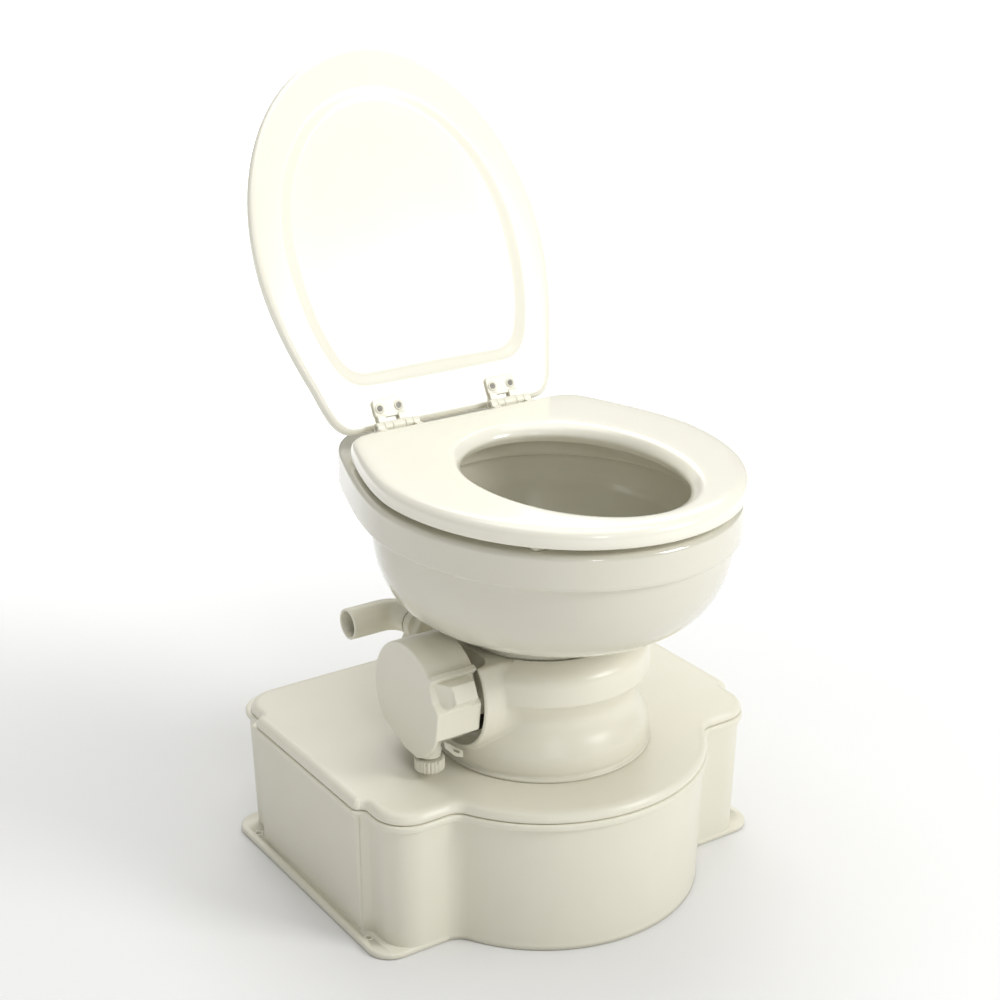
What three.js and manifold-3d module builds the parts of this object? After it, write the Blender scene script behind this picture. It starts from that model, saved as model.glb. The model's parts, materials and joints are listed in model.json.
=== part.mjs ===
// Gravity-flush toilet standing on its own low holding tank, for a boat or caravan.
// Units are millimetres and +Z is up. The origin is on the floor, under the pedestal's axis.
// The toilet faces -Y. +X is to the right of someone who looks at its front.
// The shape is symmetric about X = 0, except for the flush gear, which is on the -X side.
// The lid is drawn open, the seat down and the flush pedal up.

import * as THREE from 'three';
import { mergeVertices } from 'three/addons/utils/BufferGeometryUtils.js';
import Module from 'manifold-3d';

const wasm = await Module();
wasm.setup();

// ---------- driving dimensions ----------

const GAP = 0.3; // clearance kept between parts that touch
const SLIVER = 0.03; // edges shorter than this are merged away after cutting

// tank, in plan: a box with stepped corners and a round bulge in front
const TANK_HALF_WIDTH = 239.5;
const TANK_FRONT = -78;
const TANK_MIDDLE = 93; // the box is symmetric about this Y
const BULGE_RADIUS = 173.8;
const BULGE_FILLET = 17;
const CORNER_RADIUS = 38.5;
const SHOULDER_STEP = 10; // how far the sides stand out from the corners
const SHOULDER_BLEND = 16.5; // sum of the two radii of that step
const SHOULDER_Y = -27; // where the step starts
const TUB_TOP = 147;
const DECK_TOP = 159;
const DECK_SETBACK = 12; // how far the deck stops short of the tub at the back
const FLANGE_HALF_WIDTH = 241.6;
const FLANGE_FRONT = -70.6;
const FLANGE_BACK = 256.6;
const FLANGE_THICKNESS = 6;
const FLANGE_CORNER = 27;
const FLOOR_SCREW_X = 231;
const FLOOR_SCREW_YS = [-28, 214];

// pedestal
const PEDESTAL_TOP = 281;
const PEDESTAL_STEPS = 36; // facets around the pedestal and its band
const CHAMBER_RADIUS = 66; // inside radius of the drop tube and ball chamber
const CHAMBER_WALL = 4;
const TUBE_FLANGE_RADIUS = 76;
const TUBE_FLANGE_BOTTOM = 278;
const DROP_TUBE_BOTTOM = 140;
const DROP_HOLE_RADIUS = 78;
const BAND_BOTTOM = 240;

// flush gear, all on one axis along X
const SHAFT_Z = 242;
const SHAFT_RADIUS = 6;
const BUSHING_BORE = 8.2; // radius of the hole for the shaft's bushing
const PIVOT_BORE = 5.3; // radius of the hole for the ball's pivot pin
const BALL_RADIUS = 58;
const BALL_WALL = 4;
const OUTLET_RADIUS = 43;
const PEDAL_RADIUS = 60;
const PEDAL_OUTER_X = -166;
const PEDAL_INNER_X = -114.5;
const PEDAL_WALL = 4;
const PEDAL_STROKE = 34; // degrees
const BOSS_LIP_X = -113;
const BOSS_FLOOR_X = -92;
const BOSS_ROOT_X = 66;
const BOSS_STEPS = 24;
const VALVE_X = -149;
const VALVE_Y = -16;
const PLUNGER_STROKE = 5;
const CAM_RADIUS = 11.7;

// discharge riser and elbow
const ELBOW_Z = 270;
const ELBOW_X = -92.4;
const ELBOW_START_Y = 101.6;
const ELBOW_LEG_Y = 134;
const ELBOW_MOUTH_X = -155.5;
const ELBOW_RADIUS = 16.7; // 33.4 mm outside diameter, one-inch pipe
const ELBOW_WALL = 2.6;

// bowl, seat and lid
const RIM_UNDERSIDE = 408;
const RIM_LEDGE = 423; // lower edge of the rim inside the bowl
const NOZZLE_Z = 372;
const RIM_TOP = 443;
const SEAT_BOTTOM = 450;
const SEAT_TOP = 470;
const HINGE_Y = 168;
const HINGE_Z = 464.3;
const HINGE_X = 70.5;
const KNUCKLE_RADIUS = 5.5;
const LID_OPEN = 117; // degrees from closed
const LID_UNDERSIDE = 10.6; // above the hinge axis, when closed
const LID_THICKNESS = 15;

const BONE = 0xe9e7d8;

// ---------- helpers ----------

const deg = (angle) => (angle * Math.PI) / 180;

// A closed three.js geometry as a manifold solid.
function solid(geometry) {
  const bare = geometry.index ? geometry.toNonIndexed() : geometry.clone();
  bare.deleteAttribute('normal');
  bare.deleteAttribute('uv');
  const merged = mergeVertices(bare, 1e-4);
  const kept = [];
  const index = merged.index.array;
  for (let i = 0; i < index.length; i += 3) {
    const [a, b, c] = [index[i], index[i + 1], index[i + 2]];
    if (a !== b && b !== c && a !== c) kept.push(a, b, c);
  }
  const mesh = new wasm.Mesh({
    numProp: 3,
    vertProperties: new Float32Array(merged.attributes.position.array),
    triVerts: new Uint32Array(kept),
  });
  return new wasm.Manifold(mesh);
}

// A manifold solid as a three.js geometry.
function geometryOf(body) {
  const mesh = body.simplify(SLIVER).getMesh();
  const geometry = new THREE.BufferGeometry();
  geometry.setAttribute('position', new THREE.BufferAttribute(mesh.vertProperties, 3));
  geometry.setIndex(new THREE.BufferAttribute(mesh.triVerts, 1));
  geometry.computeVertexNormals();
  return geometry;
}

function unite(first, ...rest) {
  return rest.reduce((sum, next) => sum.add(next), first);
}

function cut(first, ...rest) {
  return rest.reduce((left, next) => left.subtract(next), first);
}

// Turned solid about +Z; the profile is a list of [radius, z], anticlockwise.
function turned(profile, segments = 28) {
  const points = profile.map(([r, z]) => new THREE.Vector2(r, z));
  points.push(points[0].clone());
  const geometry = new THREE.LatheGeometry(points, segments);
  geometry.rotateX(Math.PI / 2);
  return solid(geometry);
}

// Upright cylinder between two heights.
function rod(x, y, z0, z1, radius, segments = 20) {
  const geometry = new THREE.CylinderGeometry(radius, radius, z1 - z0, segments);
  geometry.rotateX(Math.PI / 2);
  geometry.translate(x, y, (z0 + z1) / 2);
  return solid(geometry);
}

// Cylinder or ring along X.
function rodX(x0, x1, y, z, radius, segments = 16) {
  const geometry = new THREE.CylinderGeometry(radius, radius, x1 - x0, segments);
  geometry.rotateZ(Math.PI / 2);
  geometry.translate((x0 + x1) / 2, y, z);
  return solid(geometry);
}

// Cylinder along Y.
function rodY(y0, y1, x, z, radius, segments = 16) {
  const geometry = new THREE.CylinderGeometry(radius, radius, y1 - y0, segments);
  geometry.translate(x, (y0 + y1) / 2, z);
  return solid(geometry);
}

function box(x0, x1, y0, y1, z0, z1) {
  const geometry = new THREE.BoxGeometry(x1 - x0, y1 - y0, z1 - z0);
  geometry.translate((x0 + x1) / 2, (y0 + y1) / 2, (z0 + z1) / 2);
  return solid(geometry);
}

// A flat outline [[u, v], ...], extruded along local Z.
function extruded(outline, depth) {
  const shape = new THREE.Shape(outline.map(([u, v]) => new THREE.Vector2(u, v)));
  return new THREE.ExtrudeGeometry(shape, { depth, bevelEnabled: false });
}

// An outline given as [y, z] pairs about the shaft axis, extruded from x0 to x1.
function extrudedX(outline, x0, x1) {
  const geometry = extruded(outline, x1 - x0);
  geometry.rotateX(Math.PI / 2);
  geometry.rotateZ(Math.PI / 2);
  geometry.translate(x0, 0, SHAFT_Z);
  return solid(geometry);
}

// An outline given as [x, z] pairs, extruded from y0 to y1.
function extrudedY(outline, y0, y1) {
  const geometry = extruded(outline, y1 - y0);
  geometry.rotateX(Math.PI / 2);
  geometry.translate(0, y1, 0);
  return solid(geometry);
}

// Points on an arc, angles in degrees.
function arc(cx, cy, radius, from, to, steps) {
  const points = [];
  for (let i = 0; i <= steps; i += 1) {
    const a = deg(from + ((to - from) * i) / steps);
    points.push([cx + radius * Math.cos(a), cy + radius * Math.sin(a)]);
  }
  return points;
}

function bezier(p0, p1, p2, p3, steps) {
  const curve = new THREE.CubicBezierCurve(...[p0, p1, p2, p3].map((p) => new THREE.Vector2(...p)));
  return curve.getPoints(steps).map((p) => [p.x, p.y]);
}

// Closed skin over a stack of rings that have the same number of points.
// The first and last rings are capped, or joined to each other when looped.
function skin(rings, looped = false) {
  const count = rings[0].length;
  const positions = rings.flat(2);
  const index = [];
  const last = looped ? rings.length : rings.length - 1;
  for (let i = 0; i < last; i += 1) {
    const next = (i + 1) % rings.length;
    for (let j = 0; j < count; j += 1) {
      const k = (j + 1) % count;
      const [a, b, c, d] = [i * count + j, i * count + k, next * count + k, next * count + j];
      index.push(a, b, c, a, c, d);
    }
  }
  if (!looped) {
    const flat = (ring) => ring.map(([x, y]) => new THREE.Vector2(x, y));
    for (const [a, b, c] of THREE.ShapeUtils.triangulateShape(flat(rings[0]), [])) index.push(c, b, a);
    const top = (rings.length - 1) * count;
    for (const [a, b, c] of THREE.ShapeUtils.triangulateShape(flat(rings.at(-1)), [])) {
      index.push(top + a, top + b, top + c);
    }
  }
  const geometry = new THREE.BufferGeometry();
  geometry.setAttribute('position', new THREE.Float32BufferAttribute(positions, 3));
  geometry.setIndex(index);
  return solid(geometry);
}

// ---------- plan outlines ----------

// The tank's plan outline, inset by the given distance from its widest line, anticlockwise.
function tankOutline(inset) {
  const bulge = BULGE_RADIUS - inset;
  const fillet = BULGE_FILLET + inset;
  const front = TANK_FRONT + inset;
  const filletY = front - fillet;
  const filletX = Math.sqrt((bulge + fillet) ** 2 - filletY ** 2);
  const meet = (Math.atan2(filletY, filletX) * 180) / Math.PI;
  const corner = CORNER_RADIUS - inset;
  const cornerX = TANK_HALF_WIDTH - SHOULDER_STEP - CORNER_RADIUS;
  const cornerY = TANK_FRONT + CORNER_RADIUS;
  const convex = Math.max(SHOULDER_BLEND * 0.6 - inset, 0.6);
  const hollow = SHOULDER_BLEND - convex;
  const turn = (Math.acos(1 - SHOULDER_STEP / SHOULDER_BLEND) * 180) / Math.PI;
  const run = SHOULDER_BLEND * Math.sin(deg(turn));
  const side = TANK_HALF_WIDTH - inset;
  const frontHalf = [
    ...arc(filletX, filletY, fillet, 180 + meet, 90, 3),
    ...arc(cornerX, cornerY, corner, -90, 0, 4),
    ...arc(side - SHOULDER_STEP + hollow, SHOULDER_Y, hollow, 180, 180 - turn, 2),
    ...arc(side - convex, SHOULDER_Y + run, convex, -turn, 0, 2),
  ];
  const backHalf = frontHalf.slice(4).map(([x, y]) => [x, 2 * TANK_MIDDLE - y]).reverse();
  const right = [...arc(0, 0, bulge, -90, meet, 9).slice(0, -1), ...frontHalf, ...backHalf];
  const left = right.slice(1).map(([x, y]) => [-x, y]).reverse();
  return [...right, ...left];
}

const tankRing = (inset, z) => tankOutline(inset).map(([x, y]) => [x, y, z]);

// The deck's outline: the tank's, with its rear half drawn in a little.
function deckRing(inset, z) {
  const scale = 1 - DECK_SETBACK / (TANK_MIDDLE - TANK_FRONT);
  const drawnIn = (y) => (y > TANK_MIDDLE ? TANK_MIDDLE + (y - TANK_MIDDLE) * scale : y);
  return tankOutline(inset).map(([x, y]) => [x, drawnIn(y), z]);
}

// A seat-like outline: half an ellipse in front, then a side curve and a corner to a straight back.
function eggOutline({ half, widest, front, side, corner }) {
  const right = [
    ...arc(0, 0, 1, -90, 0, 16).map(([u, v]) => [half * u, widest + (widest - front) * v]),
    ...bezier([half, widest], ...side, 10).slice(1),
    ...bezier(side[2], ...corner, 10).slice(1),
  ];
  const left = right.slice(1).map(([x, y]) => [-x, y]).reverse();
  return [...right, ...left];
}

function ellipseOutline(half, front, middle, back) {
  return arc(0, 0, 1, -90, 270, 72)
    .slice(0, -1)
    .map(([u, v]) => [half * u, middle + v * (v < 0 ? middle - front : back - middle)]);
}

// The outline's distance from a centre on X = 0, as a function of direction.
function reach(outline, centreY) {
  return (angle) => {
    const [dx, dy] = [Math.cos(angle), Math.sin(angle)];
    let best = 0;
    outline.forEach(([x1, y1], i) => {
      const [x2, y2] = outline[(i + 1) % outline.length];
      const [ex, ey] = [x2 - x1, y2 - y1];
      const det = dx * ey - dy * ex;
      if (Math.abs(det) < 1e-9) return;
      const t = (x1 * ey - (y1 - centreY) * ex) / det;
      const s = (x1 * dy - (y1 - centreY) * dx) / det;
      if (t > 0 && s >= -1e-9 && s <= 1 + 1e-9) best = Math.max(best, t);
    });
    return best;
  };
}

const RING_STEPS = 36;
const ringAngles = Array.from({ length: RING_STEPS }, (_, i) => (i * 2 * Math.PI) / RING_STEPS);

// A ring whose radius is a function of the direction.
function polarRing(radius, centreY, z) {
  return ringAngles.map((a) => [radius(a) * Math.cos(a), centreY + radius(a) * Math.sin(a), z]);
}

const RIM_PLAN = eggOutline({
  half: 184,
  widest: -2,
  front: -217,
  side: [[184, 50], [158, 118], [142, 162]],
  corner: [[131, 192], [112, 238], [60, 238]],
});
const SEAT_PLAN = eggOutline({
  half: 183,
  widest: -10,
  front: -222,
  side: [[183, 35], [160, 98], [146, 132]],
  corner: [[140, 147], [128, 153], [110, 153]],
});
const LID_PLAN = eggOutline({
  half: 175.5,
  widest: -15,
  front: -241,
  side: [[175.5, 30], [163, 75], [150, 112]],
  corner: [[140, 142], [138, 168], [112, 168]],
});
const BODY_PLAN = ellipseOutline(180, -212, -2, 168);
const RIM_OPENING = ellipseOutline(140, -176, -26, 122);
const SEAT_OPENING = ellipseOutline(99.5, -168, -36, 92);

// ---------- tank ----------

function tankTub() {
  const shell = skin([
    tankRing(8, 0),
    tankRing(3.5, 139.5),
    tankRing(0, 141),
    tankRing(0, 145.5),
    tankRing(2.5, TUB_TOP),
    tankRing(7, TUB_TOP),
    tankRing(11.5, 4),
  ]);
  const plan = new THREE.Shape();
  const [w, f, b, r] = [FLANGE_HALF_WIDTH, FLANGE_FRONT, FLANGE_BACK, FLANGE_CORNER];
  plan.setFromPoints(
    [
      ...arc(w - r, f + r, r, -90, 0, 6),
      ...arc(w - r, b - r, r, 0, 90, 6),
      ...arc(r - w, b - r, r, 90, 180, 6),
      ...arc(r - w, f + r, r, 180, 270, 6),
    ].map(([x, y]) => new THREE.Vector2(x, y)),
  );
  const plate = solid(new THREE.ExtrudeGeometry(plan, { depth: FLANGE_THICKNESS, bevelEnabled: false }));
  const inside = skin([tankRing(11.5, 4), tankRing(10.9, 20)]);
  const holes = [];
  for (const y of FLOOR_SCREW_YS) {
    for (const side of [-1, 1]) holes.push(rod(side * FLOOR_SCREW_X, y, -1, 8, 3, 12));
  }
  return cut(unite(shell, plate.subtract(inside)), ...holes);
}

function tankDeck() {
  const plate = skin([
    deckRing(11, 155),
    deckRing(6.5, 152),
    deckRing(6.5, TUB_TOP + GAP),
    deckRing(3, TUB_TOP + GAP),
    deckRing(1.4, 150),
    deckRing(3, 155),
    deckRing(10, DECK_TOP),
  ]);
  const dropHole = rod(0, 0, 150, 165, DROP_HOLE_RADIUS, 36);
  const riserHole = box(-106, -86, 84, 97, 150, 165);
  return cut(plate, dropHole, riserHole);
}

// Rubber ring between the drop tube and the deck.
function tankSeal() {
  const inner = CHAMBER_RADIUS + CHAMBER_WALL + GAP;
  const outer = DROP_HOLE_RADIUS - GAP;
  return turned([[inner, 150], [outer, 150], [outer, 158.5], [inner, 158.5]], PEDESTAL_STEPS);
}

// ---------- pedestal ----------

// The tube that waste drops through, hung in the pedestal by its top flange.
function dropTube() {
  const outer = CHAMBER_RADIUS + CHAMBER_WALL;
  const profile = [
    [CHAMBER_RADIUS, DROP_TUBE_BOTTOM],
    [outer, DROP_TUBE_BOTTOM],
    [outer, TUBE_FLANGE_BOTTOM],
    [TUBE_FLANGE_RADIUS, TUBE_FLANGE_BOTTOM],
    [TUBE_FLANGE_RADIUS, PEDESTAL_TOP],
    [CHAMBER_RADIUS, PEDESTAL_TOP],
  ];
  const shaftBore = rodX(-80, -60, 0, SHAFT_Z, BUSHING_BORE);
  const pivotBore = rodX(60, 75, 0, SHAFT_Z, PIVOT_BORE);
  return cut(turned(profile, PEDESTAL_STEPS), shaftBore, pivotBore);
}

function pedestal() {
  const tubeRoom = CHAMBER_RADIUS + CHAMBER_WALL + GAP;
  const flangeRoom = TUBE_FLANGE_RADIUS + GAP;
  const shelf = TUBE_FLANGE_BOTTOM - GAP;
  const base = DECK_TOP + GAP;
  const body = turned(
    [
      [tubeRoom, 270],
      [96, 270],
      [96, 238],
      [92, 226],
      [92, 210],
      [106, 182],
      [106, base],
      [113, base],
      [113, 161.8],
      [110.5, 163.4],
      [110.5, 184],
      [97, 212],
      [96.5, 218],
      [98, 224],
      [103, 232],
      [107, BAND_BOTTOM - GAP],
      [101, BAND_BOTTOM - GAP],
      [101, PEDESTAL_TOP - 1],
      [88, PEDESTAL_TOP - 1],
      [88, PEDESTAL_TOP],
      [flangeRoom, PEDESTAL_TOP],
      [flangeRoom, shelf],
      [tubeRoom, shelf],
    ],
    PEDESTAL_STEPS,
  );
  const cupProfile = [
    [0, BOSS_FLOOR_X],
    [0, BOSS_LIP_X - 1],
    [60, BOSS_LIP_X - 1],
    [62, -100],
    [60, BOSS_FLOOR_X],
  ];
  const cup = rotateToX(turned(cupProfile, BOSS_STEPS));
  const bore = rodX(BOSS_FLOOR_X - 1, -60, 0, SHAFT_Z, BUSHING_BORE);
  const middle = rod(0, 0, 130, PEDESTAL_TOP + 1, tubeRoom, PEDESTAL_STEPS);
  const headroom = box(-130, -60, -90, 90, PEDESTAL_TOP - 1, 330);
  const flangeSpace = rod(0, 0, shelf, PEDESTAL_TOP + 1, flangeRoom, PEDESTAL_STEPS);
  return cut(unite(body, boss(0).subtract(headroom)), cup, bore, middle, flangeSpace);
}

// The flared boss on the left side, as a closed cone along X, grown by a clearance.
function boss(clearance) {
  const profile = [
    [0, -BOSS_ROOT_X],
    [0, BOSS_LIP_X - clearance],
    [63 + clearance, BOSS_LIP_X - clearance],
    [64 + clearance, -111],
    [68 + clearance, -98],
    [75 + clearance, -82],
    [79 + clearance, -BOSS_ROOT_X],
  ];
  return rotateToX(turned(profile, BOSS_STEPS));
}

// A solid turned about +Z, laid along X with its z as x, at the shaft's height.
function rotateToX(body) {
  return body.rotate([0, 90, 0]).translate([0, 0, SHAFT_Z]);
}

// Half of the band that clamps the bowl's foot to the pedestal. side is -1 in front, 1 behind.
function clampBand(side) {
  const ring = turned(
    [
      [101 + GAP, BAND_BOTTOM],
      [108.5, BAND_BOTTOM],
      [110.5, 242.5],
      [110.5, 262],
      [108.5, 269.5],
      [103, 275.5],
      [95, 279.4],
      [88.5, 281],
      [88.5, 280.3],
      [101 + GAP, 280.3],
    ],
    PEDESTAL_STEPS,
  );
  const rear = ring.intersect(box(-150, 150, GAP / 2, 150, 200, 300)).subtract(boss(GAP));
  return side < 0 ? rear.mirror([0, 1, 0]) : rear;
}

// ---------- bowl ----------

function bowl() {
  const centre = 0;
  const rim = reach(RIM_PLAN, centre);
  const body = reach(BODY_PLAN, centre);
  const opening = reach(RIM_OPENING, centre);
  const bodyRing = (share, z) => polarRing((a) => 88 + (body(a) - 88) * share, centre, z);
  const basinRing = (share, z) =>
    polarRing((a) => OUTLET_RADIUS + (opening(a) + 12 - OUTLET_RADIUS) * share, centre, z);
  const foot = PEDESTAL_TOP + GAP;
  const rings = [
    polarRing(() => 64.7, centre, foot + 4),
    polarRing(() => 64.7, centre, foot),
    polarRing(() => 86.9, centre, foot),
    bodyRing(0.04, 292),
    bodyRing(0.15, 297),
    bodyRing(0.265, 303),
    bodyRing(0.5, 313),
    bodyRing(0.69, 327),
    bodyRing(0.83, 346),
    bodyRing(0.92, 368),
    bodyRing(0.965, 390),
    bodyRing(0.985, RIM_UNDERSIDE),
    polarRing(rim, centre, RIM_UNDERSIDE),
    polarRing(rim, centre, RIM_TOP - 4),
    polarRing((a) => rim(a) - 4, centre, RIM_TOP),
    polarRing((a) => opening(a) + 3, centre, RIM_TOP),
    polarRing(opening, centre, RIM_TOP - 4),
    polarRing(opening, centre, RIM_LEDGE),
    basinRing(1, RIM_LEDGE - 3),
    basinRing(1, 401),
    basinRing(0.96, 377),
    basinRing(0.84, 348),
    basinRing(0.66, 327),
    basinRing(0.4, 311),
    basinRing(0.15, 303),
    basinRing(0, 297),
    basinRing(0, foot + 4),
  ];
  const boltHoles = [-1, 1].map((side) => rod(side * HINGE_X, HINGE_Y, 400, 450, 4.6, 16));
  const nozzleHole = rodY(90, 200, 0, NOZZLE_Z, 7.3, 20);
  return cut(skin(rings, true), ...boltHoles, nozzleHole);
}

// Rubber lip seal that the flush ball turns against.
function bowlSeal() {
  const profile = [[OUTLET_RADIUS, 281.3], [64, 279.3], [64, 284.9], [OUTLET_RADIUS, 284.9]];
  return turned(profile, PEDESTAL_STEPS);
}

// ---------- flush gear ----------

// Domed valve that closes the bowl's outlet, with an ear at each end for its axle.
function flushBall() {
  const dome = new THREE.SphereGeometry(BALL_RADIUS, 20, 12);
  const hollow = new THREE.SphereGeometry(BALL_RADIUS - BALL_WALL, 16, 10);
  dome.rotateX(Math.PI / 2);
  hollow.rotateX(Math.PI / 2);
  const shell = solid(dome).subtract(solid(hollow));
  const below = box(-80, 80, -80, 80, -80, -14);
  const ears = [rodX(-62, -49, 0, 0, 10), rodX(49, 62, 0, 0, 10)];
  const sockets = [rodX(-70, -52, 0, 0, SHAFT_RADIUS + GAP), rodX(52, 70, 0, 0, PIVOT_BORE)];
  const ball = cut(unite(shell.subtract(below), ...ears), ...sockets);
  return ball.translate([0, 0, SHAFT_Z]);
}

function ballShaft() {
  return rodX(-160, -52.4, 0, SHAFT_Z, SHAFT_RADIUS);
}

function ballPivotPin() {
  return unite(rodX(52.4, 72, 0, SHAFT_Z, 5), rodX(70.5, 74, 0, SHAFT_Z, 8));
}

function ringX(x0, x1, outer, inner) {
  return rodX(x0, x1, 0, SHAFT_Z, outer).subtract(rodX(x0 - 1, x1 + 1, 0, SHAFT_Z, inner));
}

// The foot pedal: a drum closed on its outer side and open below, with a tread in front.
function flushPedal() {
  const R = PEDAL_RADIUS;
  const panelTop = [-59.5, 7];
  const panelBottom = [-55.5, -22];
  const lip = arc(0, 0, R, -40, 137, 20);
  const front = [[-46, 44], [-52, 41], [-45, 33], [-50, 16], panelTop, panelBottom];
  const outline = [...lip, ...front, ...arc(0, 0, R, 204, 252, 4), [4, -55]];
  const drum = extrudedX(outline, PEDAL_OUTER_X, PEDAL_INNER_X);
  const inner = R - PEDAL_WALL;
  const behindFront = [[-38, 30], [-44, 14], [-56.3, 4], [-52.6, -22]];
  const below = [[-70, -40], [-60, -80], [70, -80]];
  const cavity = [...arc(0, 0, inner, -55, 132, 18), ...behindFront, ...below];
  const room = extrudedX(cavity, PEDAL_OUTER_X + PEDAL_WALL, 0);
  const under = extrudedX([[-75, -23], [-75, -80], [80, -80], [80, -39]], PEDAL_OUTER_X + PEDAL_WALL, 0);
  const socket = unite(rodX(PEDAL_OUTER_X + 1, -128, 0, SHAFT_Z, 10), camPlate());
  const bore = rodX(-160.3, -100, 0, SHAFT_Z, SHAFT_RADIUS + GAP);
  return cut(unite(cut(drum, room, under), tread(), socket, stopRib()), bore);
}

// The tread that the foot presses: a bar with its outer end slanted back into the drum's face.
function tread() {
  const bar = extrudedX([[-40, 36], [-59.5, 34], [-67, 18], [-57, 8], [-46, 8], [-44, 20]], -170, -123);
  const slant = extruded([[-176, -90], [-149, -90], [-149, -61], [-166, -37], [-166, -20], [-176, -20]], 80);
  slant.translate(0, 0, SHAFT_Z - 20);
  return bar.subtract(solid(slant));
}

// A cam on the pedal's socket that pushes the water valve's plunger as the pedal goes down.
function camPlate() {
  const outline = [];
  for (let a = 0; a < 360; a += 10) {
    const ahead = ((270 - a + 360) % 360) / PEDAL_STROKE;
    const lift = ahead <= 1 ? ahead : Math.max(0, 1 - (ahead - 1) * 1.5);
    const radius = CAM_RADIUS + PLUNGER_STROKE * lift;
    outline.push([radius * Math.cos(deg(a)), radius * Math.sin(deg(a))]);
  }
  return extrudedX(outline, VALVE_X - 4, VALVE_X + 4);
}

// A rib inside the drum that meets the rubber stop at the end of the stroke.
function stopRib() {
  const rib = extrudedX([[39, -1.5], [57.5, -1.5], [57.5, 1.5], [39, 1.5]], -120, PEDAL_INNER_X);
  return rib.translate([0, 0, -SHAFT_Z]).rotate([171.2, 0, 0]).translate([0, 0, SHAFT_Z]);
}

function pedalStop() {
  return rodX(-117, BOSS_FLOOR_X - GAP, -36.6, SHAFT_Z - 27, 7, 20);
}

// Body of the water valve, on an arm that comes out of the boss.
function waterValveBody() {
  const barrel = rod(VALVE_X, VALVE_Y, 183, 213, 11.5, 24);
  const neck = rod(VALVE_X, VALVE_Y, 212, 216.8, 6.5, 16);
  const arm = rodX(VALVE_X, BOSS_FLOOR_X - GAP, VALVE_Y, 200, 6.5, 20);
  const bore = rod(VALVE_X, VALVE_Y, 203, 225, 4, 14);
  return cut(unite(barrel, neck, arm), bore);
}

// The plunger that the cam pushes down: a rod, a flange and a nub that reaches under the cam.
function valvePlunger() {
  const nubTop = SHAFT_Z - CAM_RADIUS - 1.1;
  const stem = rod(VALVE_X, VALVE_Y, 209.5, 224, 3.6, 14);
  const flange = box(VALVE_X - 3.5, VALVE_X + 3.5, VALVE_Y - 3.5, 2, 222.5, 224);
  const nub = box(VALVE_X - 3, VALVE_X + 3, -1.2, 1.2, 223, nubTop);
  return unite(stem, flange, nub);
}

function valveKnob() {
  const cap = rod(VALVE_X, VALVE_Y, 168.5, 181, 15, 24);
  const stem = rod(VALVE_X, VALVE_Y, 170, 182.7, 4, 12);
  const notches = [];
  for (let a = 0; a < 360; a += 45) {
    const geometry = new THREE.BoxGeometry(4, 2, 6);
    geometry.translate(15.5, 0, 181);
    geometry.rotateZ(deg(a));
    geometry.translate(VALVE_X, VALVE_Y, 0);
    notches.push(solid(geometry));
  }
  return cut(unite(cap, stem), ...notches);
}

// Slotted tab that hangs beside the valve's arm; the outlines are in the XZ plane.
function valveClip() {
  const front = VALVE_Y - 9;
  const outline = [[-137, 198], [-136, 190], [-124.5, 177.5], [-114.5, 173], [-115, 181.5]];
  const slot = [[-126, 186.5], [-126, 184], [-119, 178.5], [-119, 181.5]];
  return extrudedY(outline, front, front + 2.2).subtract(extrudedY(slot, front - 1, front + 4));
}

// ---------- discharge ----------

function dischargeRiser() {
  const foot = DECK_TOP + GAP;
  const outline = [[-112, foot], [-82, foot], [-82, 240], [-80, 292], [-91, 292], [-112, 254]];
  const hollow = [[-109, 150], [-85, 150], [-85, 240], [-83, 288], [-90, 288], [-109, 253]];
  const inside = extrudedY(hollow, 83, 98);
  const collar = rodY(90, 101, ELBOW_X, ELBOW_Z, 15.6, 20);
  const port = rodY(88, 110, ELBOW_X, ELBOW_Z, 10.5, 16);
  return cut(unite(extrudedY(outline, 80.3, 101), collar), inside, port);
}

// A round bar swept along a path of [x, y, z] points.
function swept(points, radius, sides) {
  const nodes = points.map((p) => new THREE.Vector3(...p));
  const curve = new THREE.CatmullRomCurve3(nodes, false, 'centripetal');
  const circle = new THREE.Shape();
  const outline = arc(0, 0, radius, 0, 360, sides).slice(0, -1);
  circle.setFromPoints(outline.map(([x, y]) => new THREE.Vector2(x, y)));
  return solid(new THREE.ExtrudeGeometry(circle, { steps: 9, bevelEnabled: false, extrudePath: curve }));
}

// Thin rubber washer between the riser's collar and the elbow.
function elbowSeal() {
  const washer = rodY(101.15, 101.45, ELBOW_X, ELBOW_Z, 15);
  return washer.subtract(rodY(100, 103, ELBOW_X, ELBOW_Z, 10.5));
}

function elbow() {
  const bend = 24;
  const turnX = ELBOW_X - bend;
  const turnY = ELBOW_LEG_Y - bend;
  const route = (start, end) => [
    [ELBOW_X, start, ELBOW_Z],
    ...arc(turnX, turnY, bend, 0, 90, 6).map(([x, y]) => [x, y, ELBOW_Z]),
    [end, ELBOW_LEG_Y, ELBOW_Z],
  ];
  const outer = swept(route(ELBOW_START_Y, ELBOW_MOUTH_X), ELBOW_RADIUS, 18);
  const inner = swept(route(ELBOW_START_Y - 8, ELBOW_MOUTH_X - 12), ELBOW_RADIUS - ELBOW_WALL, 14);
  return outer.subtract(inner);
}

function dipTube() {
  return rod(-96, 90.5, 14, 154.5, 5.6, 24).subtract(rod(-96, 90.5, 0, 170, 4, 20));
}

// ---------- rinse water ----------

function rinseNozzle() {
  const tube = rodY(114, 186, 0, NOZZLE_Z, 7, 20);
  const tip = rodY(112, 120, 0, NOZZLE_Z, 9.5, 20);
  const bore = rodY(114, 190, 0, NOZZLE_Z, 4, 16);
  const slot = box(-8, 8, 110, 117, NOZZLE_Z - 4, NOZZLE_Z);
  return cut(unite(tube, tip), bore, slot);
}

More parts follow.
